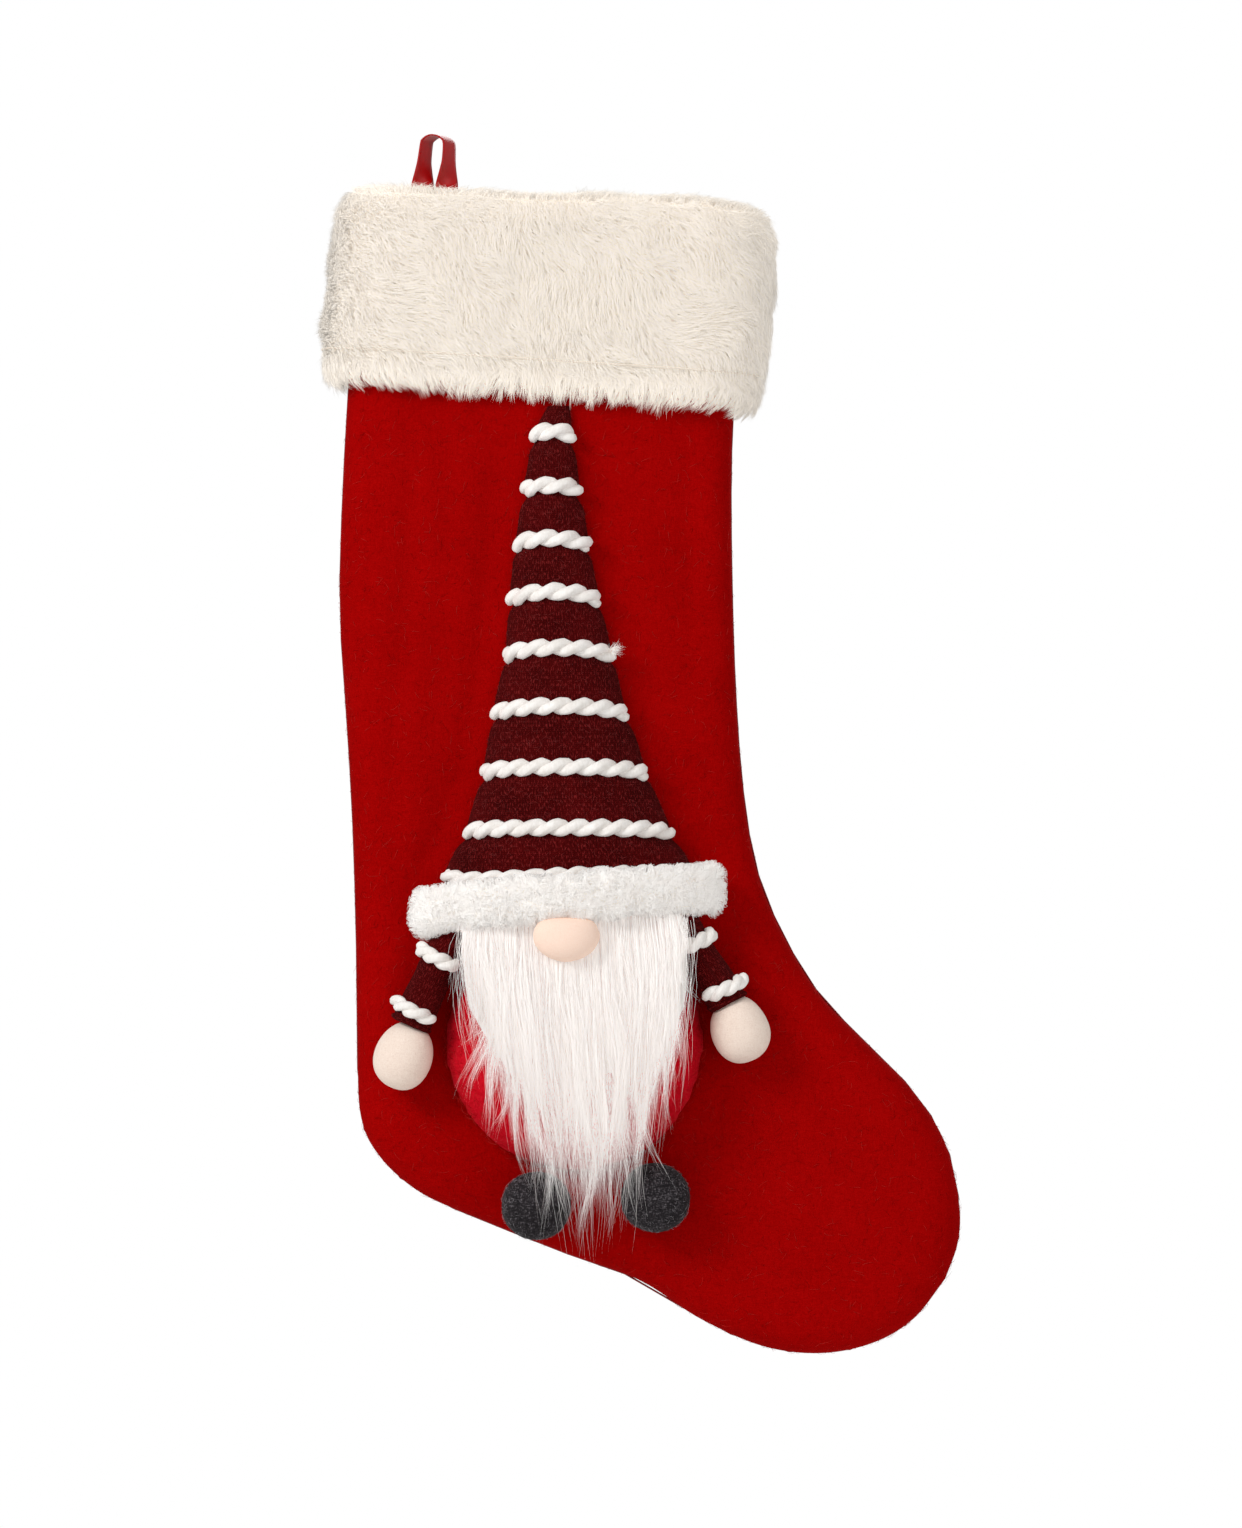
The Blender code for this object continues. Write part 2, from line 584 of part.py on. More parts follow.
def make_arm(name):
    start, along, length, sideways = arm_frame(name)
    pivot = add_pivot(f"arm_{name}_pivot", *start)
    turn = math.atan2(-along.x, -along.z)

    def turned(part_name, profile, slot, solid):
        """A profile of (radius, distance along the arm) turned round the arm's axis."""
        bm = bmesh.new()
        verts = [bm.verts.new((radius * MM, 0, -down * MM)) for radius, down in profile]
        for a, b in zip(verts, verts[1:]):
            bm.edges.new((a, b))
        obj = add_bmesh(part_name, bm, slot, pivot)
        obj.location = point(*start)
        obj.rotation_euler = (0.0, turn, 0.0)
        screw = obj.modifiers.new("turn", "SCREW")
        screw.axis = "Z"
        screw.steps = 14
        screw.render_steps = 14
        screw.use_merge_vertices = True
        screw.merge_threshold = 0.00001
        if not solid:
            add_solidify(obj, SLEEVE_THICK)
        return obj

    def dome(radius):
        angles = [math.radians(degrees) for degrees in (0, 25, 50, 75)]
        return [(radius * math.sin(angle), -radius * math.cos(angle)) for angle in angles]

    turned(f"sleeve_{name}", dome(SLEEVE_TOP_R) + [(SLEEVE_TOP_R, 6), (SLEEVE_WRIST_R, length)],
           "burgundy_knit", False)
    inner = SLEEVE_TOP_R - SLEEVE_THICK - GAP
    turned(f"arm_stuffing_{name}", dome(inner) + [(inner, 6), (inner - 0.2, length - 4), (0, length - 4)],
           "stuffing", True)

    def wrap(part_name, down, radius, slot):
        """A cord round the front and outer side of the sleeve, short of the beard on the inner side."""
        middle = start + along * down
        r = SLEEVE_TOP_R + radius + GAP
        path = []
        for i in range(11):
            angle = math.radians(WRAP_INNER + (WRAP_OUTER - WRAP_INNER) * i / 10) * -SIDES[name]
            path.append(middle + sideways * r * math.sin(angle) - Vector((0, 1, 0)) * r * math.cos(angle))
        add_tube(part_name, path, radius, slot, pivot)

    wrap(f"upper_cord_{name}", UPPER_CORD_DOWN, ARM_CORD_RADIUS, "white_cord")
    wrap(f"wrist_cord_{name}", length - WRIST_CORD_UP, ARM_CORD_RADIUS, "white_cord")
    wrap(f"sleeve_hem_{name}", length - SLEEVE_HEM_UP, SLEEVE_HEM_RADIUS, "burgundy_knit")
    hand = start + along * (length + MITTEN_GAP + MITTEN_HALF[2])
    add_ellipsoid(f"mitten_{name}", hand, MITTEN_HALF, "cream_felt", pivot, turn)


def make_foot(name):
    x, z = FOOT_CENTRE[name]
    pivot = add_pivot(f"foot_{name}_pivot", x, FOOT_Y, z + FOOT_HALF[2])
    add_ellipsoid(f"foot_{name}", (x, FOOT_Y, z), FOOT_HALF, "charcoal_felt", pivot)


def make_bag():
    outline = bag_panel("front_shell", "red_felt", -1, 0.0, SHELL_THICK)
    bag_panel("back_shell", "red_felt", 1, 0.0, SHELL_THICK)
    bag_panel("front_lining", "lining", -1, LINING_INSET, LINING_THICK, LINING_DROP)
    bag_panel("back_lining", "lining", 1, LINING_INSET, LINING_THICK, LINING_DROP)
    seam = [(spot.x, 0, spot.y) for spot in outline if spot is not outline[RIBS]]
    add_tube("side_seam_thread", seam, SEAM_THREAD_RADIUS, "thread", STOCKING, 0)


clear_scene()
PARTS = bpy.data.collections.new("hanging_stocking")
bpy.context.scene.collection.children.link(PARTS)
STOCKING = add_pivot("stocking_pivot", 0, LOOP_Y, HINGE_Z)
make_bag()
make_cuff()
make_loop()
make_hat()
make_brim()
make_belly()
make_beard()
for side_name in SIDES:
    make_arm(side_name)
    make_foot(side_name)
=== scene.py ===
import math

import bpy
import numpy as np
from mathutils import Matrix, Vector
from mathutils.kdtree import KDTree

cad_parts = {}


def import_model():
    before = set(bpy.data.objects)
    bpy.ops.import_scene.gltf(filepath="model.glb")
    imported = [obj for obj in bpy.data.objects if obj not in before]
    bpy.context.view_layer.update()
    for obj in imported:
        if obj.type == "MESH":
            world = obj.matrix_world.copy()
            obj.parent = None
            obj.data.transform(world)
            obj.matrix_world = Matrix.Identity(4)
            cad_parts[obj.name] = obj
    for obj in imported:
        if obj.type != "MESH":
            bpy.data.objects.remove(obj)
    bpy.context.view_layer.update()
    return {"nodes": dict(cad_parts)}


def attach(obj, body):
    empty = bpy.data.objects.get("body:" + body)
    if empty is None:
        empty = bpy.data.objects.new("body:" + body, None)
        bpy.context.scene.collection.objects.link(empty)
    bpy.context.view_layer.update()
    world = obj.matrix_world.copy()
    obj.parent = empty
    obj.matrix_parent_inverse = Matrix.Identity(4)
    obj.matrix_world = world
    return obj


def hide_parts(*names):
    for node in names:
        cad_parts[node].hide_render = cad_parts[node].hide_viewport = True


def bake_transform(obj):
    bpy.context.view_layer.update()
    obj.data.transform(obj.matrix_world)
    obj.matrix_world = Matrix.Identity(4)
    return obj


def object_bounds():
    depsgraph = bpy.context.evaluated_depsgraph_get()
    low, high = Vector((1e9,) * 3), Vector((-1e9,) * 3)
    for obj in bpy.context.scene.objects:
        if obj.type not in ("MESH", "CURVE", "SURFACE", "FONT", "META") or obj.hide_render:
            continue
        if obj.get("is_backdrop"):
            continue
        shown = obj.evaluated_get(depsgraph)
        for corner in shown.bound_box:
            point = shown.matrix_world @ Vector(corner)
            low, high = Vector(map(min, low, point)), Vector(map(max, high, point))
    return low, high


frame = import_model()

# Lengths are millimetres, with y = 0 on the bag's seam plane as in the CAD; world() gives the frame's metres.
MM = 0.001
LOOP_Y = -4.0

# ---------------------------------------------------------------- sizes shared with the CAD

HEEL_SIDE = [
    (-33, -33), (-36, -90), (-39, -140), (-41, -200), (-38.5, -245), (-35.8, -288), (-34, -340),
    (-33.3, -390), (-32.2, -424), (-24, -442.5), (-6, -458.5), (20, -470), (55, -484), (89, -496.5),
    (115, -513), (142, -525), (167, -528.3), (190, -524), (208, -513.5), (222, -496),
]
TOE_SIDE = [
    (134.5, -43.5), (131.5, -90), (129, -140), (129.2, -190), (130.8, -240), (134, -283), (140, -318),
    (151, -345.5), (167, -372), (187, -393), (208, -414.5), (222, -437), (228, -463), (227.5, -480),
    (222, -496),
]
BAG_FRONT, BAG_BACK = 17.0, 15.0
EDGE_FRONT, EDGE_BACK = 24.0, 20.0
LINING_INSET = 2.8

CUFF_TILT = math.radians(3.67)
CUFF_TOP = (54.8, 0.0, -27.4)
CUFF_SHIFT = -3.2
BAG_TOP_HALF = 83.8
FACING_INSIDE = 8.5
FACING_DEPTH = 38.0
CUFF_FRONT, CUFF_BACK = 27.0, 23.5
CUFF_SECTIONS = [  # down, shift, half width, share of the depth
    (0.0, 0.0, 84.0, 0.72), (3.0, -0.3, 91.0, 0.88), (12.0, -0.8, 95.5, 0.98), (35.0, -1.6, 97.2, 1.0),
    (58.0, -2.6, 97.5, 1.0), (68.0, -2.9, 96.8, 0.98), (75.0, -3.0, 96.0, 0.96), (82.0, -3.0, 95.5, 0.97),
    (88.0, -3.0, 93.0, 0.9),
]
CREASE_DOWN = 71.3

RIBBON_WIDTH = 10.0
LOOP_HALF = 5.25
HINGE_Z = -24.0
TAIL_Y, TAIL_END_Z = 5.7, -54.0

GNOME_Y = -17.5
HAT_LEVELS = [  # z, left, right, depth
    (-117, 49, 59.5, 4.5), (-130, 41.9, 61.7, 8), (-154, 38, 64.3, 10.5), (-178, 34.1, 68.6, 12.5),
    (-202, 31.9, 72.9, 14.5), (-224, 30.2, 78.1, 16.5), (-250, 25, 84.6, 19), (-276, 20.3, 93.2, 21.5),
    (-301, 12.9, 104, 23.5), (-318, 4.5, 113.5, 24.8), (-329, 3, 115, 24.8),
]
HAT_CORDS = [  # z of the middle, how much the ends drop
    (-129.5, 3.0), (-153.0, 2.0), (-175.8, 3.4), (-198.8, 4.2), (-222.8, 4.0), (-248.0, 3.6), (-274.0, 3.0),
    (-300.0, 2.0),
]
BRIM_ENDS_X = (-1.5, 117.5)
BRIM_LINE_Z = [-337.5, -334.5, -330.5, -327.5, -326.0]
BRIM_HALF_HEIGHT, BRIM_HALF_THICK = 12.0, 4.8
BELLY_CENTRE = (61.3, -391.0)
BELLY_HALF = (57.5, 26.0, 58.0)
NOSE_CENTRE = (57.8, -49.5, -351.5)
NOSE_HALF = (14.7, 8.5, 8.6)
BEARD_TURN_Z = (-352.0, -372.0)
BEARD_EDGES = [  # z, left, right, y of the middle layer
    (-334, 11.5, 110, -39.5), (-352, 10.5, 112, -43.5), (-366, 11.5, 112, -46.0), (-385, 15, 110, -47.4),
    (-400, 19, 108, -47.8), (-426, 27, 102, -47.6), (-448, 35, 97, -46.6), (-465, 42, 93, -45.8),
    (-480, 50, 86, -45.2), (-500, 54, 84, -44.8),
]
SIDES = {"left": -1, "right": 1}
ARM_Y = -28.7
SHOULDER = {"left": (2.0, -359.0), "right": (117.4, -352.5)}
WRIST = {"left": (-9.4, -384.5), "right": (127.0, -375.0)}
SLEEVE_R = 8.8
MITTEN_HALF = (13.0, 10.2, 14.2)
FOOT_CENTRE = {"left": (44.7, -465.5), "right": (95.8, -462.0)}
FOOT_HALF = (14.3, 11.5, 14.0)
FOOT_Y = -30.3


# ---------------------------------------------------------------- small tools

ROUNDNESS = 2.2  # 2 would make rounded edges quarter circles


def world(points):
    return (np.asarray(points, float) - (0.0, LOOP_Y, 0.0)) * MM


def unit(vectors):
    return vectors / (np.linalg.norm(vectors, axis=-1, keepdims=True) + 1e-9)


def signed_power(values, power):
    return np.sign(values) * abs(values) ** power


def noise3(points, cell, seed=0):
    """Smooth noise from -1 to 1 whose features are about one cell across."""
    grid = np.asarray(points, float) / cell + 1000.0
    base = np.floor(grid).astype(np.int64)
    part = grid - base
    part = part * part * (3 - 2 * part)
    total = 0.0
    for corner in np.ndindex(2, 2, 2):
        key = (base + corner) @ np.array([73856093, 19349663, 83492791]) + seed * 15485863
        key = ((key ^ (key >> 13)) * 1274126177) & 0x7FFFFFFF
        key = key ^ (key >> 16)
        weight = np.prod(np.where(corner, part, 1 - part), axis=-1)
        total = total + ((key & 0xFFFF) / 32767.5 - 1) * weight
    return total


def smooth_path(points, steps):
    """Catmull-Rom curve through the points, as evenly spaced samples."""
    points = np.asarray(points, float)
    ends = np.vstack([2 * points[0] - points[1], points, 2 * points[-1] - points[-2]])
    t = np.linspace(0, 1, 16, endpoint=False)[:, None]
    dense = np.vstack([0.5 * (2 * b + (c - a) * t + (2 * a - 5 * b + 4 * c - d) * t ** 2
                              + (3 * b - a - 3 * c + d) * t ** 3)
                       for a, b, c, d in zip(ends, ends[1:], ends[2:], ends[3:])] + [points[-1:]])
    along = np.concatenate([[0], np.cumsum(np.linalg.norm(np.diff(dense, axis=0), axis=1))])
    want = np.linspace(0, along[-1], steps + 1)
    return np.stack([np.interp(want, along, dense[:, k]) for k in range(dense.shape[1])], 1)


def round_over(distance, edge):
    """How far a surface has risen at a distance from its edge, from 0 to 1."""
    return (1 - (1 - np.clip(distance / edge, 0, 1)) ** ROUNDNESS) ** (1 / ROUNDNESS)


def distance_to_line(spots, line):
    best = np.full(spots.shape[:-1], 1e9)
    for a, b in zip(line, line[1:]):
        run = b - a
        share = np.clip(((spots - a) @ run) / max(run @ run, 1e-9), 0, 1)
        best = np.minimum(best, np.linalg.norm(a + share[..., None] * run - spots, axis=-1))
    return best


def level(table, z, column):
    """A column of a table whose first column is a falling z, read at z."""
    rows = np.asarray(table, float)
    return np.interp(-np.asarray(z, float), -rows[:, 0], rows[:, column])


def fade_in(values, start, reach):
    """0 up to a start and 1 from start + reach on."""
    return np.clip((values - start) / reach, 0, 1)


def grid_quads(rows, cols, wrap=False):
    """Quads of a grid of points, seen from outside with columns to the right and rows down."""
    r, c = np.meshgrid(np.arange(rows - 1), np.arange(cols if wrap else cols - 1), indexing="ij")
    n = (c + 1) % cols
    return np.stack([r * cols + c, (r + 1) * cols + c, (r + 1) * cols + n, r * cols + n], -1).reshape(-1, 4)


def new_mesh(name, points, faces, tints=None, normals=None):
    """A mesh from points in millimetres and a list of arrays of triangles or quads."""
    mesh = bpy.data.meshes.new(name)
    mesh.vertices.add(len(points))
    mesh.vertices.foreach_set("co", world(points).astype(np.float32).ravel())
    corners = np.concatenate([f.ravel() for f in faces]).astype(np.int32)
    sizes = np.concatenate([np.full(len(f), f.shape[1]) for f in faces])
    mesh.loops.add(len(corners))
    mesh.loops.foreach_set("vertex_index", corners)
    mesh.polygons.add(len(sizes))
    mesh.polygons.foreach_set("loop_start", (np.cumsum(sizes) - sizes).astype(np.int32))
    mesh.polygons.foreach_set("use_smooth", np.ones(len(sizes), bool))
    if tints is not None:
        mesh.polygons.foreach_set("material_index", tints.astype(np.int32))
    mesh.update(calc_edges=True)
    if normals is not None:
        mesh.normals_split_custom_set_from_vertices(normals)
    return mesh


def grid_mesh(name, grid):
    return new_mesh(name, grid.reshape(-1, 3), [grid_quads(*grid.shape[:2])])


def closed_rings(rings, loop=False):
    """Points and faces of a closed body through rings; loop joins the last ring to the first."""
    rows, cols = rings.shape[:2]
    if loop:
        return rings.reshape(-1, 3), [grid_quads(rows + 1, cols, True) % (rows * cols)]
    points = np.concatenate([rings.reshape(-1, 3), rings[0].mean(0)[None], rings[-1].mean(0)[None]])
    c = np.arange(cols)
    n = (c + 1) % cols
    first = np.stack([np.full(cols, rows * cols), c, n], 1)
    last = np.stack([np.full(cols, rows * cols + 1), (rows - 1) * cols + n, (rows - 1) * cols + c], 1)
    return points, [grid_quads(rows, cols, True), first, last]


def ring_mesh(name, rings, loop=False):
    return new_mesh(name, *closed_rings(rings, loop))


def add_piece(name, mesh, materials, body="stocking", nodes=(), blend=None):
    """A piece in the frame: it rides a body, or, given a blend, has its place baked into its mesh; the CAD
    nodes it stands for are hidden.
    """
    obj = bpy.data.objects.new(name, mesh)
    bpy.context.scene.collection.objects.link(obj)
    for made in materials:
        mesh.materials.append(made)
    if blend:
        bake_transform(obj)
    else:
        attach(obj, body)
    if nodes:
        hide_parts(*nodes)
    return obj


def solidify(obj, thickness, offset=-1.0):
    modifier = obj.modifiers.new("thickness", "SOLIDIFY")
    modifier.thickness = thickness * MM
    modifier.offset = offset
    modifier.use_rim = True


def cell_corners(grid):
    return grid[:-1, :-1], grid[:-1, 1:], grid[1:, 1:], grid[1:, :-1]


def cell_areas(grid):
    """Twice the area of each cell of a grid of points."""
    a, b, c, d = cell_corners(grid)
    return np.linalg.norm(np.cross(c - a, d - b), axis=-1)


def carried_axes(path, guide):
    """Two directions square to a path, which turn as little as they can along it."""
    tangent = unit(np.gradient(path, axis=0))
    side = np.zeros_like(path)
    side[0] = unit(np.cross(tangent[0], guide))
    for i in range(1, len(path)):
        side[i] = unit(side[i - 1] - tangent[i] * (side[i - 1] @ tangent[i]))
    return side, np.cross(tangent, side)


def tube_rings(path, radius, sides, ridges=None):
    """Rings round a path; radius is one number or one per point, ridges their depth, number and twist."""
    path = np.asarray(path, float)
    side, other = carried_axes(path, (0.31, 0.22, 0.93))
    turn = -2 * math.pi * np.arange(sides) / sides
    radius = np.broadcast_to(np.asarray(radius, float), (len(path),))[:, None]
    if ridges:
        depth, number, twist = ridges
        radius = radius * (1 + depth * np.cos(number * turn[None] + twist * np.arange(len(path))[:, None]))
    return (path[:, None] + radius[..., None] * (side[:, None] * np.cos(turn)[None, :, None]
                                                 + other[:, None] * np.sin(turn)[None, :, None]))


def wrapped(grid):
    return np.concatenate([grid, grid[:, :1]], axis=1)


def scatter(grid, count, rng, weight=None):
    """Random places on a grid of points: position, outward normal, across, down, and row in the grid."""
    area = cell_areas(grid)
    a, b, c, d = cell_corners(grid)
    if weight is not None:
        area = area * weight((a + b + c + d) / 4)
    r, q = np.divmod(rng.choice(area.size, count, p=area.ravel() / area.sum()), area.shape[1])
    s, t = rng.random((2, count, 1))
    a, b, c, d = a[r, q], b[r, q], c[r, q], d[r, q]
    spots = (a * (1 - s) + b * s) * (1 - t) + (d * (1 - s) + c * s) * t
    across = unit((b - a) * (1 - t) + (c - d) * t)
    down = unit((d - a) * (1 - s) + (c - b) * s)
    return spots, unit(np.cross(down, across)), across, down, r + t[:, 0]


FIBRE_SIDES = 3
MOST_TRIANGLES = 190000  # in one piece of fibres


def add_fibres(name, paths, radius, materials, rng, body="stocking", nodes=(), blend=None, tip=0.3,
               odds=None, nap=None, share=0.7):
    """Closed tapered fibres along paths of shape (fibre, point, 3), in pieces of a moderate size.

    nap holds the outward directions of the surface they lie on; each is shaded by that share like it."""
    count, steps = paths.shape[:2]
    rings = steps - 1
    tangent = unit(np.gradient(paths, axis=1))
    side = unit(np.cross(tangent, rng.normal(size=(count, 1, 3))))
    other = np.cross(tangent, side)
    turn = 2 * math.pi * np.arange(FIBRE_SIDES) / FIBRE_SIDES
    taper = np.linspace(1, tip, steps)[None, :rings]
    wide = (np.broadcast_to(radius, (count,))[:, None] * taper)[..., None, None]
    ring = paths[:, :rings, None] + wide * (side[:, :rings, None] * np.cos(turn)[:, None]
                                            + other[:, :rings, None] * np.sin(turn)[:, None])
    around = rings * FIBRE_SIDES
    points = np.concatenate([ring.reshape(count, around, 3), paths[:, -1:]], axis=1)
    if nap is not None:
        radial = unit(ring - paths[:, :rings, None]).reshape(count, around, 3)
        nap = unit(nap[:, None] * share + np.concatenate([radial, tangent[:, -1:]], axis=1) * (1 - share))
    quads = grid_quads(rings, FIBRE_SIDES, True)[:, [0, 3, 2, 1]]
    j = np.arange(FIBRE_SIDES)
    top = np.stack([around - FIBRE_SIDES + j, around - FIBRE_SIDES + (j + 1) % FIBRE_SIDES, 0 * j + around], 1)
    ends = np.concatenate([top, [[2, 1, 0]]])
    tints = rng.choice(len(materials), count, p=odds)
    each = MOST_TRIANGLES // (len(quads) * 2 + len(ends))
    for k, first in enumerate(range(0, count, each), 1):
        part = points[first:first + each]
        offset = (np.arange(len(part)) * points.shape[1])[:, None, None]
        faces = [(offset + quads).reshape(-1, 4), (offset + ends).reshape(-1, 3)]
        tint = tints[first:first + each]
        index = np.concatenate([np.repeat(tint, len(quads)), np.repeat(tint, len(ends))])
        shaded = None if nap is None else nap[first:first + each].reshape(-1, 3)
        piece = new_mesh(f"{name}_{k}", part.reshape(-1, 3), faces, index, shaded)
        add_piece(f"{name}_{k}", piece, materials, body, nodes if k == 1 else (), blend)


def nearest(heads, spots):
    """Which of the heads is the nearest to each spot."""
    tree = KDTree(len(heads))
    for i, head in enumerate(heads):
        tree.insert(head, i)
    tree.balance()
    return np.array([tree.find(spot)[1] for spot in spots])


def gather(tips, roots, every, pull, rng):
    """Tips drawn together into tufts round every so many fibres."""
    heads = rng.choice(len(roots), max(len(roots) // every, 1), replace=False)
    head = heads[nearest(roots[heads], roots)]
    share = pull * rng.uniform(0.5, 1.0, (len(roots), 1))
    return tips + (tips[head] - tips) * share


# ---------------------------------------------------------------- materials

def feed(node, values):
    """Set or link inputs of a shader node."""
    for key, value in values.items():
        socket = node.inputs[key]
        if isinstance(value, bpy.types.NodeSocket):
            node.id_data.links.new(value, socket)
        else:
            socket.default_value = (*value, 1) if socket.type == "RGBA" else value


def add_node(tree, kind, values, output=0, **settings):
    """An output of a new shader node."""
    made = tree.nodes.new("ShaderNode" + kind)
    for key, value in settings.items():
        setattr(made, key, value)
    feed(made, values)
    return made.outputs[output]


class Look:
    """One Principled material and the nodes that feed it."""

    def __init__(self, name, roughness, specular=0.2, sheen=0.0, tint=(1, 1, 1), sheen_roughness=0.5):
        self.material = bpy.data.materials.new(name)
        self.material.use_nodes = True
        self.shader = self.material.node_tree.nodes["Principled BSDF"]
        feed(self.shader, {"Roughness": roughness, "Specular IOR Level": specular, "Sheen Weight": sheen,
                           "Sheen Roughness": sheen_roughness, "Sheen Tint": tint})
        self.coords = self.node("TexCoord", {}, "Object")

    def node(self, *what, **settings):
        return add_node(self.material.node_tree, *what, **settings)

    def stretched(self, x, y, z, vector=None):
        return self.node("Mapping", {"Scale": (x, y, z), "Vector": vector or self.coords})

    def noise(self, per_metre, detail=3.0, vector=None, distortion=0.0, roughness=0.6):
        return self.node("TexNoise", {"Scale": per_metre, "Detail": detail, "Roughness": roughness,
                                      "Distortion": distortion, "Vector": vector or self.coords}, "Fac")

    def cells(self, per_metre):
        return self.node("TexVoronoi", {"Scale": per_metre, "Vector": self.coords}, "Distance")

    def wave(self, per_metre, vector, distortion=0.0, direction="X"):
        return self.node("TexWave", {"Scale": per_metre, "Distortion": distortion, "Detail": 1.0,
                                     "Vector": vector}, "Fac", bands_direction=direction)

    def multiply(self, a, b):
        return self.node("Math", {0: a, 1: b}, operation="MULTIPLY")

    def mix(self, share, a, b):
        return self.node("Mix", {0: share, 6: a, 7: b}, 2, data_type="RGBA")

    def ramp(self, value, stops):
        made = self.node("ValToRGB", {"Fac": value})
        elements = made.node.color_ramp.elements
        while len(elements) < len(stops):
            elements.new(0.5)
        for element, (place, colour) in zip(elements, stops):
            element.position = place
            element.color = (*colour, 1) if isinstance(colour, tuple) else (colour, colour, colour, 1)
        return made

    def colour(self, value):
        feed(self.shader, {"Base Color": value})
        return self

    # Painted light: the surface emits a glow of its own colour, though it is no lamp.
    def glow(self, colour, strength):
        feed(self.shader, {"Emission Color": colour, "Emission Strength": strength})
        return self

    def bump(self, height, millimetres, strength):
        """A bump on top of those before it."""
        normal = self.shader.inputs["Normal"]
        before = {"Normal": normal.links[0].from_socket} if normal.is_linked else {}
        values = {"Strength": strength, "Distance": millimetres * MM, "Height": height, **before}
        feed(self.shader, {"Normal": self.node("Bump", values)})
        return self


def felt(name, dark, middle, light, grain=1.0, sheen=0.1, tint=(1, 1, 1), specular=0.05):
    """Pressed wool: mottled colour, crossed fine fibres and a soft nap."""
    look = Look(name, 0.95, specular, sheen, tint, 0.45)
    patches = look.noise(22, 3)
    hairs = look.mix(0.5, look.noise(260 / grain, 2, look.stretched(1, 1, 4.5), 1.5),
                     look.noise(260 / grain, 2, look.stretched(4.5, 1, 1), 1.5))
    fuzz = look.noise(1500 / grain, 3)
    blend = look.mix(0.5, look.mix(0.35, fuzz, patches), hairs)
    look.colour(look.ramp(blend, [(0.34, dark), (0.5, middle), (0.68, light)]))
    return look.bump(fuzz, 0.35 * grain, 0.5).bump(hairs, 0.5 * grain, 0.35).material


def fibres(name, roughness, specular, tints):
    """The tints of a bundle of fibres, each with a painted glow in its own colour, strongest on the pale ones.
    """
    # Painted light: through is the strength of each tint's glow, though the fibres are no lamp.
    return [Look(f"{name}_{k}", roughness, specular).colour(colour).glow(colour, through).material
            for k, (colour, through) in enumerate(tints, 1)]


def knit(name):
    """Ribbed knit: upright wales of burgundy with paler flecks in them."""
    look = Look(name, 0.9, 0.03, 0.03, (1.0, 0.3, 0.3))
    flat = look.node("UVMap", {}, uv_map="weave")
    loops = look.multiply(look.wave(0.24, flat, 0.6), look.wave(0.34, flat, 1.2, "Y"))
    flecks = look.noise(1.0, 1, look.stretched(2.4, 0.6, 1, flat), 0.3, 0.4)
    burgundy = [(0.15, (0.030, 0.0005, 0.0007)), (0.5, (0.080, 0.0012, 0.0014)), (0.9, (0.13, 0.003, 0.004))]
    ground = look.ramp(look.mix(0.55, loops, look.noise(60, 2)), burgundy)
    shown = look.ramp(flecks, [(0.57, 0.0), (0.66, 1.0)])
    look.colour(look.mix(look.multiply(shown, 0.30), ground, (0.44, 0.04, 0.04)))
    return look.bump(loops, 0.6, 0.8).bump(look.noise(1600, 3), 0.3, 0.5).material


def threads(look, fine, patches, stops, millimetres, strength):
    """A look coloured by its fine threads and by broader patches, with the threads in relief."""
    look.colour(look.ramp(look.mix(0.5, fine, look.noise(patches, 2)), stops))
    return look.bump(fine, millimetres, strength).material


def twisted(name, dark, light):
    """Soft cotton yarn of a cord: fine filaments along each ply."""
    look = Look(name, 0.85, 0.2, 0.2)
    fine = look.noise(900, 3, look.stretched(1, 1, 0.4), 0.5)
    return threads(look, fine, 120, [(0.3, dark), (0.65, light)], 0.35, 0.6)


def base_cloth(name, dark, light):
    """The woven ground that a pile grows from, with a faint painted glow in its lighter colour."""
    # Painted light: a faint glow in the lighter colour lifts the shade seen between the fibres.
    look = Look(name, 0.95, 0.1, 0.1).glow(light, 0.06)
    look.colour(look.ramp(look.mix(0.5, look.noise(420, 3), look.noise(45, 2)), [(0.35, dark), (0.65, light)]))
    return look.bump(look.cells(500), 0.8, 0.6).material


def satin(name, dark, light):
    look = Look(name, 0.3, 0.32)
    fine = look.noise(1400, 2, look.stretched(3, 3, 0.25))
    return threads(look, fine, 70, [(0.3, dark), (0.7, light)], 0.08, 0.5)


def woven(name, dark, light):
    """Plain-woven lining or sewing thread."""
    look = Look(name, 0.7, 0.3, 0.1)
    both = look.mix(0.5, look.wave(420, look.coords, 0.4, "X"), look.wave(420, look.coords, 0.4, "Z"))
    return threads(look, both, 90, [(0.25, dark), (0.75, light)], 0.15, 0.5)


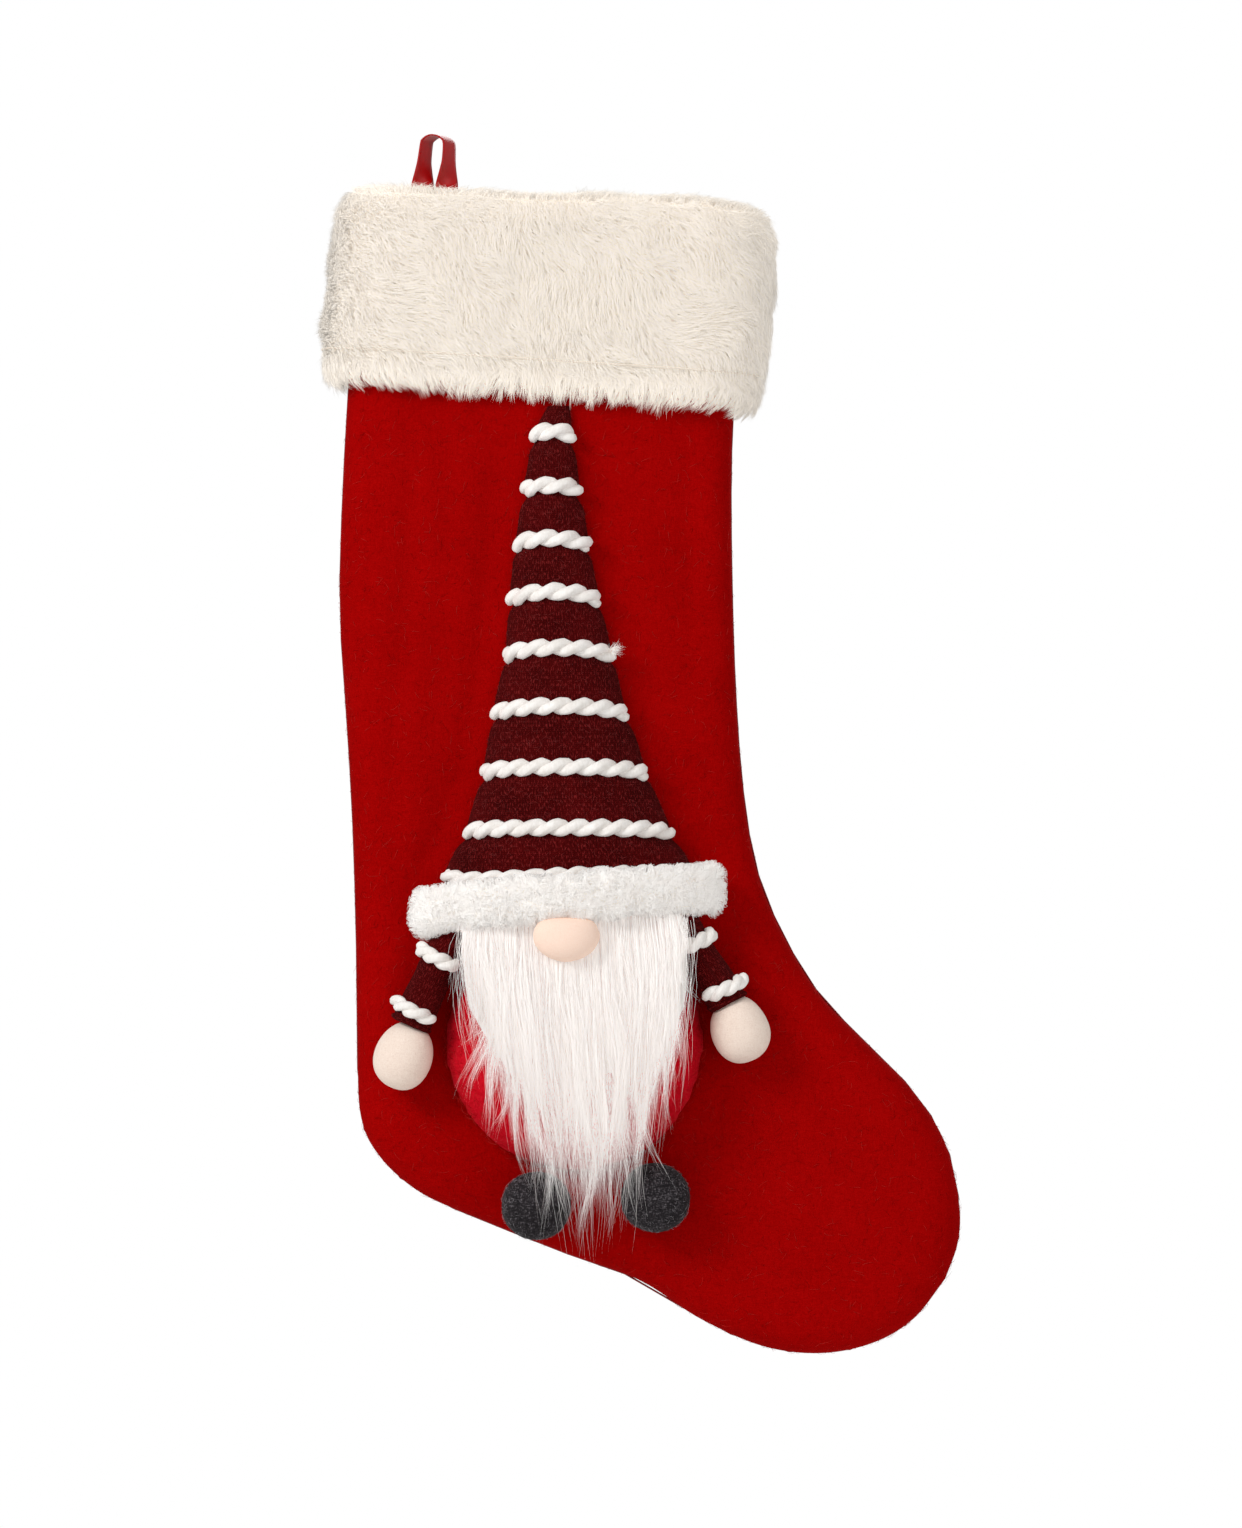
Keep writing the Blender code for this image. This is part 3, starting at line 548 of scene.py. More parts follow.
RED_FELT = felt("red_felt", (0.225, 0.0002, 0.0002), (0.315, 0.0006, 0.0006), (0.40, 0.002, 0.0018),
                1.0, 0.02, (1, 0.1, 0.1), 0.01)
BELLY_FELT = felt("bright_red_felt", (0.39, 0.0006, 0.005), (0.56, 0.004, 0.014), (0.72, 0.020, 0.034),
                  1.3, 0.04, (1, 0.2, 0.2), 0.02)
CREAM_FELT = felt("cream_felt", (0.73, 0.57, 0.48), (0.86, 0.71, 0.61), (0.93, 0.81, 0.72), 0.7)
CHARCOAL = felt("charcoal_felt", (0.004, 0.0035, 0.004), (0.020, 0.017, 0.019), (0.21, 0.19, 0.205), 1.1, 0.05)
PEACH = felt("peach_fabric", (0.92, 0.64, 0.51), (0.97, 0.73, 0.60), (0.99, 0.79, 0.68), 0.4, 0.1,
             (1, 0.85, 0.75))
KNIT = knit("burgundy_knit")
SATIN = satin("red_satin", (0.30, 0.0005, 0.001), (0.50, 0.001, 0.002))
LINING = woven("lining", (0.18, 0.002, 0.002), (0.32, 0.006, 0.005))
THREAD = woven("thread", (0.18, 0.001, 0.001), (0.30, 0.004, 0.003))
CREAM_THREAD = woven("cream_thread", (0.78, 0.69, 0.58), (0.90, 0.82, 0.72))
CORD_WHITE = twisted("white_cord", (0.78, 0.73, 0.68), (0.97, 0.94, 0.91))
# These grounds carry the faint painted glow of base_cloth.
PILE_BASE = base_cloth("cream_pile_base", (0.92, 0.84, 0.74), (0.97, 0.90, 0.82))
SHERPA_BASE = base_cloth("sherpa_base", (0.88, 0.84, 0.80), (0.96, 0.94, 0.91))
BEARD_BASE = base_cloth("beard_base_cloth", (0.80, 0.76, 0.73), (0.92, 0.89, 0.86))
# Each fibre tint is a colour and the strength of a painted glow in that colour.
CREAM_PILE = fibres("cream_fibre", 0.8, 0.15, [((0.97, 0.90, 0.81), 0.215), ((0.965, 0.89, 0.795), 0.215),
                                               ((0.98, 0.92, 0.84), 0.215), ((0.955, 0.87, 0.77), 0.19)])
SHERPA_PILE = fibres("sherpa_fibre", 0.85, 0.2, [((0.97, 0.94, 0.91), 0.20), ((0.93, 0.88, 0.84), 0.17),
                                                 ((0.98, 0.97, 0.95), 0.22)])
BEARD_HAIR = fibres("beard_hair", 0.42, 0.5, [((0.97, 0.94, 0.92), 0.18), ((0.93, 0.88, 0.85), 0.14),
                                              ((0.98, 0.97, 0.95), 0.21), ((0.78, 0.69, 0.67), 0.05)])
RED_FUZZ = fibres("red_fuzz", 0.9, 0.02, [((0.42, 0.004, 0.004), 0), ((0.26, 0.001, 0.001), 0),
                                          ((0.50, 0.03, 0.025), 0)])
KNIT_FUZZ = fibres("knit_fuzz", 0.9, 0.02, [((0.08, 0.003, 0.005), 0), ((0.26, 0.04, 0.04), 0)])
GREY_FUZZ = fibres("grey_fuzz", 0.9, 0.05, [((0.09, 0.085, 0.09), 0), ((0.36, 0.34, 0.36), 0)])


# ---------------------------------------------------------------- camera, light and floor

SENSOR = 36
VIEW_HEIGHT, VIEW_DISTANCE = 0.6595, 2.4  # metres of the photo's height, seen from this far
CAMERA_PLACE = (0.0811, -2.413, -0.2723)
AIM = (0.07, 0, -0.27)
LIGHTS = [  # name, place, size and watts
    ("key", (-1.25, -1.35, 0.75), 0.75, 26),
    ("fill", (1.3, -1.4, -0.1), 1.3, 6),
    ("back", (0.4, 1.6, 0.6), 1.4, 16),
]
SKY_LIGHT = 0.5
FLOOR_HALF, FLOOR_Z = 1600.0, -860.0

scene = bpy.context.scene
scene.view_settings.view_transform = "Standard"
scene.view_settings.look = "None"
camera = bpy.data.objects.new("camera", bpy.data.cameras.new("camera"))
camera.location = CAMERA_PLACE
camera.rotation_euler = (math.radians(90), 0, 0)
camera.data.sensor_width = SENSOR
camera.data.lens = SENSOR * VIEW_DISTANCE / VIEW_HEIGHT
camera.data.clip_end = 20
scene.collection.objects.link(camera)
scene.camera = camera

sky = bpy.data.worlds.new("studio")
sky.use_nodes = True
scene.world = sky
seen = add_node(sky.node_tree, "LightPath", {}, "Is Camera Ray")
strength = add_node(sky.node_tree, "Mix", {0: seen, 2: SKY_LIGHT, 3: 1.0}, data_type="FLOAT")
feed(sky.node_tree.nodes["Background"], {"Strength": strength, "Color": (1, 1, 1)})

for name, place, size, watts in LIGHTS:
    lamp = bpy.data.lights.new(name, "AREA")
    lamp.size = size
    lamp.energy = watts
    obj = bpy.data.objects.new(name, lamp)
    obj.location = place
    obj.rotation_euler = (Vector(AIM) - Vector(place)).to_track_quat("-Z", "Y").to_euler()
    scene.collection.objects.link(obj)
scene.cycles.diffuse_bounces = 10

floor_look = Look("pale_floor", 0.8)
pale_greys = [(0.3, (0.80, 0.80, 0.79)), (0.7, (0.84, 0.84, 0.83))]
floor_look.colour(floor_look.ramp(floor_look.noise(6, 2), pale_greys))
corners = np.array([(x * FLOOR_HALF, y * FLOOR_HALF, FLOOR_Z) for x, y in ((-1, -1), (1, -1), (1, 1), (-1, 1))])
floor = bpy.data.objects.new("floor", new_mesh("floor", corners, [np.array([[0, 1, 2, 3]])]))
floor.data.materials.append(floor_look.material)
scene.collection.objects.link(floor)
floor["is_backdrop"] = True


# ---------------------------------------------------------------- bag

UPRIGHT_FOLDS = [  # x at z = -200, lean, width and depth of long shallow hollows in the felt
    (-13, 0.02, 5.5, 1.3), (4, -0.015, 6.5, 1.1), (21, 0.01, 8, 0.8), (112, 0.03, 7, 0.8),
]
SEAM_Y = 0.25  # half the gap between the panels at the seam


def bag_grid(facing, inset, ribs, across, drop=0.0):
    """One panel of the bag: ribs from the heel side to the toe side, domed, with soft hollows."""
    heel = smooth_path(HEEL_SIDE, ribs)
    toe = smooth_path(TOE_SIDE, ribs)
    for side_line, inward in ((heel, 1), (toe, -1)):
        ahead = np.gradient(side_line, axis=0)
        side_line += unit(np.stack([-ahead[:, 1], ahead[:, 0]], 1)) * inward * inset
        side_line[0, 1] -= drop
    heel[-1] = toe[-1] = (heel[-1] + toe[-1]) / 2
    share = 0.5 - 0.5 * np.cos(math.pi * np.linspace(0, 1, across + 1))
    flat = heel[:, None] + (toe - heel)[:, None] * share[None, :, None]
    away = np.minimum(distance_to_line(flat, heel), distance_to_line(flat, toe))
    depth, edge, seed = (BAG_FRONT, EDGE_FRONT, 3) if facing < 0 else (BAG_BACK, EDGE_BACK, 9)
    depth, edge = depth - inset, edge - inset
    grid = np.stack([flat[..., 0], np.zeros(flat.shape[:2]), flat[..., 1]], -1)
    x, z = grid[..., 0], grid[..., 2]
    hollow = 0.9 * (noise3(grid, 62, seed) + 0.5 * noise3(grid, 27, seed + 1) - 0.55)
    puckers = 0.25 * noise3(grid, 5, seed + 2) * np.clip(1 - away / 9, 0, 1) * fade_in(away, 0, 1.5)
    in_leg = fade_in(-z, 90, 60) * fade_in(z, -340, 80)
    for centre, lean, wide, deep in UPRIGHT_FOLDS:
        run = (x - centre - lean * (z + 200) - 4 * noise3(grid, 90, seed + 4)) / wide
        hollow -= deep * np.exp(-run * run) * in_leg
    if facing < 0:  # the felt is drawn in beside the hat, and slopes back to its right
        hat_left, hat_right = level(HAT_LEVELS, z, 1), level(HAT_LEVELS, z, 2)
        beside = np.maximum(hat_left - x, x - hat_right)
        hollow -= 2.0 * np.exp(-((beside - 9) / 8) ** 2) * fade_in(-z, 105, 40) * fade_in(z, -350, 40)
        hollow -= 5.5 * fade_in(x, hat_right, 45) * fade_in(-z, 95, 50) * fade_in(z, -400, 90)
    rise = round_over(away, edge) * (depth - SEAM_Y)
    grid[..., 1] = facing * (SEAM_Y + rise + np.minimum(hollow, 0.4) * fade_in(away, 0, 18) + puckers)
    return grid


def add_panel(name, facing, cloth, ribs, across, node):
    """A panel of the bag as a sheet with thickness; all of its last rib, at the toe, is one point."""
    look, slot, inset, drop, thickness = cloth
    grid = bag_grid(facing, inset, ribs, across, drop)
    quads = grid_quads(*grid.shape[:2])
    quads = quads if facing < 0 else quads[:, ::-1]
    last = (grid.shape[0] - 1) * grid.shape[1]
    quads = np.where(quads >= last, last, quads)
    tip = (quads == last).sum(1) > 1
    corner = np.array([[v for k, v in enumerate(quad) if v != last or k == list(quad).index(last)]
                       for quad in quads[tip]])
    mesh = new_mesh(name, grid.reshape(-1, 3)[:last + 1], [quads[~tip], corner])
    obj = add_piece(name, mesh, [look], nodes=[node])
    solidify(obj, thickness)
    return obj, grid


SHELL = RED_FELT, "red_felt", 0.0, 0.0, 1.5  # look, slot, inset, drop at the top and thickness
INSIDE = LINING, "lining", LINING_INSET, 2.0, 0.8
front, front_grid = add_panel("bag_front", -1, SHELL, 190, 84, "front_shell")
back, back_grid = add_panel("bag_back", 1, SHELL, 150, 60, "back_shell")
front_in, lining_grid = add_panel("lining_front", -1, INSIDE, 90, 40, "front_lining")
back_in, _ = add_panel("lining_back", 1, INSIDE, 90, 40, "back_lining")


def flat_fuzz(grid, count, long, lift, rng):
    """Loose surface fibres, lying at random on a grid and curving a little off it."""
    spots, normal, across, down, _ = scatter(grid, count, rng)
    turn = rng.uniform(0, 2 * math.pi, (count, 1))
    run = across * np.cos(turn) + down * np.sin(turn)
    bend = np.cross(normal, run) * rng.normal(0, 0.35, (count, 1))
    length = rng.uniform(0.4, 1.0, (count, 1)) * long
    high = rng.uniform(0.15, 1.0, (count, 1)) * lift
    return np.stack([spots - normal * 0.15, spots + run * length * 0.35 + normal * high * 0.8,
                     spots + (run + bend * 0.5) * length * 0.7 + normal * high,
                     spots + (run + bend) * length + normal * high * 0.5], 1)


rng = np.random.default_rng(5)
for name, grid, count in (("bag_fuzz_front", front_grid, 5200), ("bag_fuzz_back", back_grid[:, ::-1], 3600)):
    add_fibres(name, flat_fuzz(grid, count, 6.0, 0.8, rng), 0.075, RED_FUZZ, rng)


# ---------------------------------------------------------------- cuff

AROUND = 132
PILE_DEPTH = 3.6
CUFF_EDGE_FRONT, CUFF_EDGE_BACK = 34, 32
CUFF_FULLER = 3.6  # how much higher the crest stands towards the right
CREASE_HALF = 0.9
LIP = 2.8, 8.0  # the ring on the rim's top: down and inset


def cuff_ring(shift, half, front_depth, back_depth, down, edge_front, edge_back):
    """A level ring of the cuff, left to right over the front and back round behind."""
    turn = 2 * math.pi * np.arange(AROUND) / AROUND
    u = -half * np.cos(turn)
    rise = np.where(turn < math.pi, -front_depth * round_over(half - abs(u), edge_front),
                    back_depth * round_over(half - abs(u), edge_back))
    return np.stack([shift + u, rise, np.full(AROUND, -down)], 1)


def outer_ring(down, inset):
    shift, half, share = (np.interp(down, [s[0] for s in CUFF_SECTIONS], [s[k] for s in CUFF_SECTIONS])
                          for k in (1, 2, 3))
    return cuff_ring(shift, half - inset, CUFF_FRONT * share - inset, CUFF_BACK * share - inset, down,
                     CUFF_EDGE_FRONT - inset, CUFF_EDGE_BACK - inset)


def hole_ring(down, extra):
    return cuff_ring(CUFF_SHIFT, BAG_TOP_HALF + extra, BAG_FRONT + extra, BAG_BACK + extra, down, EDGE_FRONT,
                     EDGE_BACK)


def facing_ring(down, grow):
    extra = grow - FACING_INSIDE
    return cuff_ring(CUFF_SHIFT, BAG_TOP_HALF + extra, BAG_FRONT + extra, BAG_BACK + extra, down,
                     EDGE_FRONT + extra, EDGE_BACK + extra)


def cuff_place(points):
    """From the cuff's own slanted axes to the frame's."""
    points = np.asarray(points, float)
    c, s = math.cos(CUFF_TILT), math.sin(CUFF_TILT)
    x, y, z = points[..., 0], points[..., 1], points[..., 2]
    fuller = fade_in(x, -40, 90) * fade_in(-x, -93, 25)
    raised = CUFF_FULLER * fuller * np.clip(1 + z / 40, 0, 1)
    return np.stack([x * c + z * s, y, -x * s + z * c + raised], -1) + CUFF_TOP


def cuff_down(places):
    """How far down the cuff's own slanted axis places lie."""
    return -((places - CUFF_TOP) @ np.array([math.sin(CUFF_TILT), 0, math.cos(CUFF_TILT)]))


def cuff_grid(rings):
    return wrapped(cuff_place(np.stack(rings)))


def pile_inset(down):
    """How far the ground lies inside the cuff's outline: deeper at the crease and towards the lower edge."""
    return PILE_DEPTH + 0.5 * math.exp(-((down - CREASE_DOWN) / 1.1) ** 2) + 1.2 * max(0, (down - 77) / 3) ** 2


downs = np.concatenate([np.linspace(3.2, 69.5, 34), [70.4, CREASE_DOWN, 72.2], np.linspace(73.2, 80, 6)])
outer = np.stack([outer_ring(v, pile_inset(v)) for v in downs])
swell = noise3(outer, 34, 21) * 1.2 + noise3(outer * [1, 1, 1.8], 14, 22) * 0.8
swell = swell * fade_in(downs, 3, 10)[:, None] * fade_in(-downs, -86, 10)[:, None]
outer[..., 1] += np.sign(outer[..., 1]) * swell
inner = [hole_ring(80.2, 1.6), hole_ring(8.8, 1.6), hole_ring(6.2, 0.0), facing_ring(6.3, 3.3),
         facing_ring(FACING_DEPTH - 0.5, 3.3), facing_ring(FACING_DEPTH - 0.5, 1.8), facing_ring(20, 1.8),
         facing_ring(9, 1.8), facing_ring(4.2, 2.2), facing_ring(2.9, 4.5), outer_ring(2.7, 8.0)]
cuff_mesh = ring_mesh("cuff_plush_ground", cuff_place(np.concatenate([outer, np.stack(inner)])), True)
cuff = add_piece("cuff_plush_ground", cuff_mesh, [PILE_BASE],
                 nodes=["cuff_fur", "cuff_hem", "cuff_facing"])


def brushed_pile(grid, count, rng, long, lift, seed, steer=0.9, weight=None):
    """Paths of brushed pile, lying over at an angle that drifts across the cloth, and the cloth's normals."""
    spots, normal, across, down, _ = scatter(grid, count, rng, weight)
    angle = noise3(spots, 38, seed) * 1.3 + noise3(spots, 11, seed + 1) * 0.9
    angle = steer * angle + rng.normal(0, 0.3, count) + 0.85
    lie = down * np.cos(angle)[:, None] + across * np.sin(angle)[:, None]
    length = (long * (1 + 0.22 * noise3(spots, 16, seed + 2)) * rng.uniform(0.75, 1.15, count))[:, None]
    high = (lift * (1 + 0.35 * noise3(spots, 9, seed + 3)) * rng.uniform(0.7, 1.2, count))[:, None]
    middle = spots + lie * length * 0.42 + normal * high * 0.85
    tips = spots + lie * length + normal * high * rng.uniform(0.75, 1.15, (count, 1))
    return np.stack([spots - normal * 0.4, middle, tips], 1), normal


def clear_of_crease(places):
    """Less pile in the crease above the hem, in dashes that grow scarce towards the right."""
    down = cuff_down(places)
    gap = np.where(noise3(places, 7, 33) > 0.1 + 0.007 * (places[..., 0] + 30), 0.2, 1.0)
    return np.where(abs(down - CREASE_DOWN) < CREASE_HALF, gap, 1.0) * np.where(down > 76, 0.8, 1.0)


def fading(places):
    """Pile over the rim thins out down the cuff's outside."""
    outside = abs(places[..., 1]) > BAG_FRONT * 0.8
    return np.where(outside, np.clip(1 - (cuff_down(places) - 2) / 13, 0.02, 1), 1.0)


def add_cuff_pile(name, paths, radius, rng, nap, share=0.7, tip=0.3):
    add_fibres(name, paths, radius, CREAM_PILE, rng, nap=nap, share=share, tip=tip)


rng = np.random.default_rng(17)
paths, nap = brushed_pile(cuff_grid(outer), 62000, rng, 8.5, 3.9, 31, weight=clear_of_crease)
paths[:, 2] = gather(paths[:, 2], paths[:, 0], 10, 0.25, rng)
nap[:, 2] *= np.clip((cuff_down(paths[:, 0]) - 2) / 12, 0.1, 1)
add_cuff_pile("cuff_pile", paths, rng.uniform(0.12, 0.18, len(paths)), rng, nap, 0.82)

# Fringe of straighter pile along the cuff's lower edge, drawn into spikes
low = cuff_grid([outer_ring(v, pile_inset(v)) for v in np.linspace(74, 80.4, 6)])
spots, normal, across, down, _ = scatter(low, 12500, rng)
count = len(spots)
heads = spots[rng.choice(count, 1300, replace=False)]
spike = nearest(heads, spots)
spike_length = (rng.uniform(8.5, 14.5, len(heads)) + 2.0 * noise3(heads, 9, 46))[spike][:, None]
spike_sway = (noise3(heads, 24, 44) * 0.55 + rng.normal(0, 0.26, len(heads)))[spike][:, None]
pull = rng.uniform(0.35, 0.95, (count, 1))
lie = unit(down + across * (spike_sway + rng.normal(0, 0.10, (count, 1))))
length = spike_length * rng.uniform(0.6, 1.0, (count, 1))
own = spots + lie * length
drawn = heads[spike] + lie * spike_length
tips = own + (drawn - own) * pull * (length / spike_length) + normal * 1.2
middle = (spots + tips) / 2 + normal * 2.4 + (heads[spike] - spots) * pull * 0.15
paths = np.stack([spots - normal * 0.4, middle, middle * 0.45 + tips * 0.55 + normal * 0.3, tips], 1)
add_cuff_pile("cuff_fringe", paths, rng.uniform(0.085, 0.135, count), rng, normal, tip=0.15)

# Pile over the rim and down inside the mouth
upper = [outer_ring(v, pile_inset(v)) for v in (3.4, 6, 9, 12, 16)]
rim = cuff_grid([facing_ring(20, 1.8), facing_ring(9, 1.8), facing_ring(4.2, 2.2), facing_ring(2.9, 4.5),
                 outer_ring(*LIP)] + upper)
paths, nap = brushed_pile(rim, 13000, rng, 6.5, 3.6, 61, 2.2, fading)
add_cuff_pile("cuff_rim_pile", paths, 0.18, rng, unit(nap + [0, -0.5, 0]), 0.5)
crest = cuff_grid([facing_ring(3.0, 4.5), outer_ring(*LIP)] + upper)
spots, normal, across, down, _ = scatter(crest, 10000, rng, fading)
turn = rng.uniform(0, 2 * math.pi, (len(spots), 1))
lean = (across * np.cos(turn) + down * np.sin(turn)) * rng.uniform(0.4, 2.6, (len(spots), 1))
high = normal * rng.uniform(2.2, 4.6, (len(spots), 1))
paths = np.stack([spots - normal * 0.4, spots + lean * 0.4 + high * 0.6, spots + lean * 1.4 + high], 1)
add_cuff_pile("cuff_crest_pile", paths, 0.15, rng, unit(normal + [-0.2, -0.9, 0.3]), 0.6)
paths, nap = brushed_pile(cuff_grid([facing_ring(v, 1.8) for v in (36, 28, 20)]), 5000, rng, 6.0, 2.2, 71, 2.2)
add_cuff_pile("cuff_facing_pile", paths, 0.2, rng, nap)


# ---------------------------------------------------------------- hanging ribbon

LEAN = 1.6
tail = [(-LOOP_HALF, TAIL_Y, TAIL_END_Z, 90), (-LOOP_HALF, TAIL_Y, -47, 90), (-LOOP_HALF, TAIL_Y, -41, 90),
        (-LOOP_HALF, 3.2, -36, 90), (-LOOP_HALF, -2.6, -28.5, 90)]  # x, y, z and the turn of the face
leg = [(-LOOP_HALF, LOOP_Y, z, turn)
       for z, turn in ((-23.0, 84), (-20.5, 70), (-17, 52), (-13.5, 40), (-10, 33))]
half_way = [math.pi * (1 - k / 8) for k in range(1, 8)]
crown = [(LOOP_HALF * math.cos(a), LOOP_Y, 0.4 - LOOP_HALF + LOOP_HALF * math.sin(a), 30) for a in half_way]
line = smooth_path(tail + leg + crown + [(-x, y, z, turn) for x, y, z, turn in reversed(tail + leg)], 150)
line[:, 0] += LEAN * fade_in(line[:, 2], HINGE_Z, 20)
face = np.radians(line[:, 3])
wide = np.stack([np.sin(face), np.cos(face), np.zeros(len(line))], 1)
thin = unit(np.cross(unit(np.gradient(line[:, :3], axis=0)), wide))
cross = np.linspace(-0.5, 0.5, 9)
cup = 0.35 * (0.25 - cross ** 2)
ribbon_grid = (line[:, None, :3] + wide[:, None] * cross[None, :, None] * RIBBON_WIDTH
               + thin[:, None] * cup[None, :, None])
ribbon = add_piece("hanging_ribbon", grid_mesh("hanging_ribbon", ribbon_grid), [SATIN],
                   nodes=["hanging_loop", "loop_tail_left", "loop_tail_right"],
                   blend=("hanger", "stocking", world((0, LOOP_Y, -21.5)), world((0, LOOP_Y, -26.5))))
solidify(ribbon, 0.45, 0.0)


# ---------------------------------------------------------------- hat

ROPE_RADIUS = 3.75
ROPE_PITCH = 18.6
PLY_OFFSET, PLY_RADIUS = 0.43, 0.62  # shares of the rope's radius
UNTIDY_END = (-223.5, 2.75)  # z and turn of the fifth cord's frayed end


def hat_pinch(z):
    """How far the knit sinks at each cord."""
    near = sum(np.exp(-((z - cord_z + 1.5) / 3.4) ** 2) for cord_z, _ in HAT_CORDS)
    return -0.9 - 2.2 * np.clip(near, 0, 1)


def hat_spot(z, turn, grow):
    """A place on the hat at a height and a turn from its left side over the front, in radians."""
    left, right, depth = (level(HAT_LEVELS, z, k) for k in (1, 2, 3))
    half = np.maximum((right - left) / 2 + grow, 0.4)
    deep = np.maximum(depth + grow, 0.4)
    x, y = (left + right) / 2 - half * np.cos(turn), GNOME_Y - deep * np.sin(turn)
    return np.stack(np.broadcast_arrays(x, y, z), -1)


def add_weave(mesh, grid):
    """A UV map in millimetres along and across the cloth, for the knit."""
    steps = np.linalg.norm(np.diff(grid, axis=1), axis=-1)
    across = np.concatenate([[0], np.cumsum(steps.mean(0))])
    u = (across - across[-1] / 2)[None] * (steps.sum(1) / across[-1])[:, None]
    centre = grid[:, grid.shape[1] // 2]
    down = np.concatenate([[0], np.cumsum(np.linalg.norm(np.diff(centre, axis=0), axis=-1))])
    flat = np.stack([u, np.repeat(down[:, None], grid.shape[1], 1)], -1).reshape(-1, 2)
    index = np.empty(len(mesh.loops), np.int32)
    mesh.loops.foreach_get("vertex_index", index)
    flat = flat[np.minimum(index, len(flat) - 1)]
    mesh.uv_layers.new(name="weave").data.foreach_set("uv", flat.astype(np.float32).ravel())


def add_rope(name, path, radius, pitch, body="stocking", nodes=(), phase=0.0):
    """A cord of two soft plies twisted round a path."""
    length = np.linalg.norm(np.diff(path, axis=0), axis=1).sum()
    line = smooth_path(path, max(int(length / 0.6), 12))
    side, other = carried_axes(line, (0.1, 1.0, 0.15))
    along = np.linspace(0, length, len(line))
    ends = np.sqrt(np.clip(np.minimum(along, length - along) / (radius * 0.8) + 0.12, 0, 1))[:, None]
    points, faces = [], []
    for ply in (0.0, math.pi):
        turn = (ply + phase - 2 * math.pi * along / pitch)[:, None]
        centre = line + radius * PLY_OFFSET * ends * (side * np.cos(turn) + other * np.sin(turn))
        wide = radius * PLY_RADIUS * ends[:, 0] * (1 + 0.06 * noise3(centre, 4, 91))
        spots, groups = closed_rings(tube_rings(centre, wide, 18, (0.055, 6, 0.42)))
        faces += [group + len(points) * len(spots) for group in groups]
        points.append(spots)
    add_piece(name, new_mesh(name, np.concatenate(points), faces), [CORD_WHITE], body, nodes)


zs = np.linspace(-118.0, -329, 240)[:, None]
angles = np.linspace(0, math.pi, 60)[None]
arch = 2.6 * (1 - np.sin(angles)) * fade_in(-zs, 120, 20)
hat_grid = hat_spot(zs, angles, hat_pinch(zs + arch))
hat_grid += 0.35 * noise3(hat_grid, 9, 81)[..., None] * np.array([1, 1, 0])
hat_mesh = grid_mesh("hat_cover", hat_grid)
add_weave(hat_mesh, hat_grid)
hat = add_piece("hat_cover", hat_mesh, [KNIT], nodes=["hat_shell", "hat_stuffing"])
solidify(hat, 1.0)
rng = np.random.default_rng(23)
add_fibres("hat_fuzz", flat_fuzz(hat_grid, 2600, 4.0, 0.8, rng), 0.07, KNIT_FUZZ, rng)

for number, (z, drop) in enumerate(HAT_CORDS, 1):
    turn = np.linspace(0.14, math.pi - 0.14, 30)
    heights = z + 0.6 - drop * (1 - np.sin(turn)) - 1.6 * (1 - np.sin(turn)) ** 3
    add_rope(f"hat_rope_{number}", hat_spot(heights, turn, -1.9), ROPE_RADIUS, ROPE_PITCH,
             nodes=[f"hat_cord_{number}"], phase=number * 1.9)
rng = np.random.default_rng(31)
many = (90, 3)
root = hat_spot(UNTIDY_END[0], np.array(UNTIDY_END[1]), 1.2)
aim = unit(np.array([0.75, -0.55, 0.35]) + rng.normal(0, 0.55, many))
reach = aim * rng.uniform(2.0, 6.0, (many[0], 1))
start = root + rng.normal(0, 0.8, many)
paths = [start, start + reach * 0.5 + rng.normal(0, 0.3, many), start + reach + rng.normal(0, 0.5, many)]
add_fibres("cord_end_tuft", np.stack(paths, 1), 0.11, SHERPA_PILE, rng)
turn = np.linspace(0.16, math.pi - 0.2, 40)
heights = np.interp(turn, [0.16, 0.35, 0.6, 1.1, 1.6, 2.9], [-319.5, -321, -322, -321, -319.5, -318])
add_rope("hat_rope_9", hat_spot(heights, turn, -0.6), ROPE_RADIUS * 0.9, ROPE_PITCH, nodes=["hat_cord_9"])


# ---------------------------------------------------------------- brim

BRIM_BOW = 25.2
BRIM_LENGTH = 152
BRIM_BOXY = 0.8


def brim_rings(stations, sides, inset):
    """Rings of the brim, bowed forward over the hat's front, with rounded ends and a lumpy surface."""
    share = np.linspace(0, 1, stations)
    angle = math.pi * (1 - share)
    left, right = BRIM_ENDS_X
    bow = np.sin(angle)
    z = np.interp(share, np.linspace(0, 1, 5), BRIM_LINE_Z) + 1.8 * bow
    x = (left + right) / 2 + (right - left) / 2 * np.cos(angle) * 1.045
    spine = np.stack([x, GNOME_Y - 6.0 - BRIM_BOW * bow, z], 1)[:, None]
    out = unit(np.stack([np.cos(angle), -1.3 * bow, 0 * angle], 1))
    from_end = np.minimum(share, 1 - share) * BRIM_LENGTH - 1.5
    size = (1 - (1 - fade_in(from_end, 0, 7)) ** 2.4) ** (1 / 2.4) * 0.97 + 0.03
    turn = 2 * math.pi * np.arange(sides) / sides
    thick = ((BRIM_HALF_THICK - inset * 0.5) * size)[:, None] * signed_power(np.cos(turn), BRIM_BOXY)
    tall = ((BRIM_HALF_HEIGHT - inset - 1.2 * bow) * size)[:, None] * signed_power(np.sin(turn), BRIM_BOXY)
    rings = spine + out[:, None] * thick[..., None] + np.array([0, 0, 1.0]) * tall[..., None]
    lumps = 1 + 0.13 * noise3(rings, 10, 101) + 0.12 * noise3(rings, 4.2, 102)
    return spine + (rings - spine) * lumps[..., None]


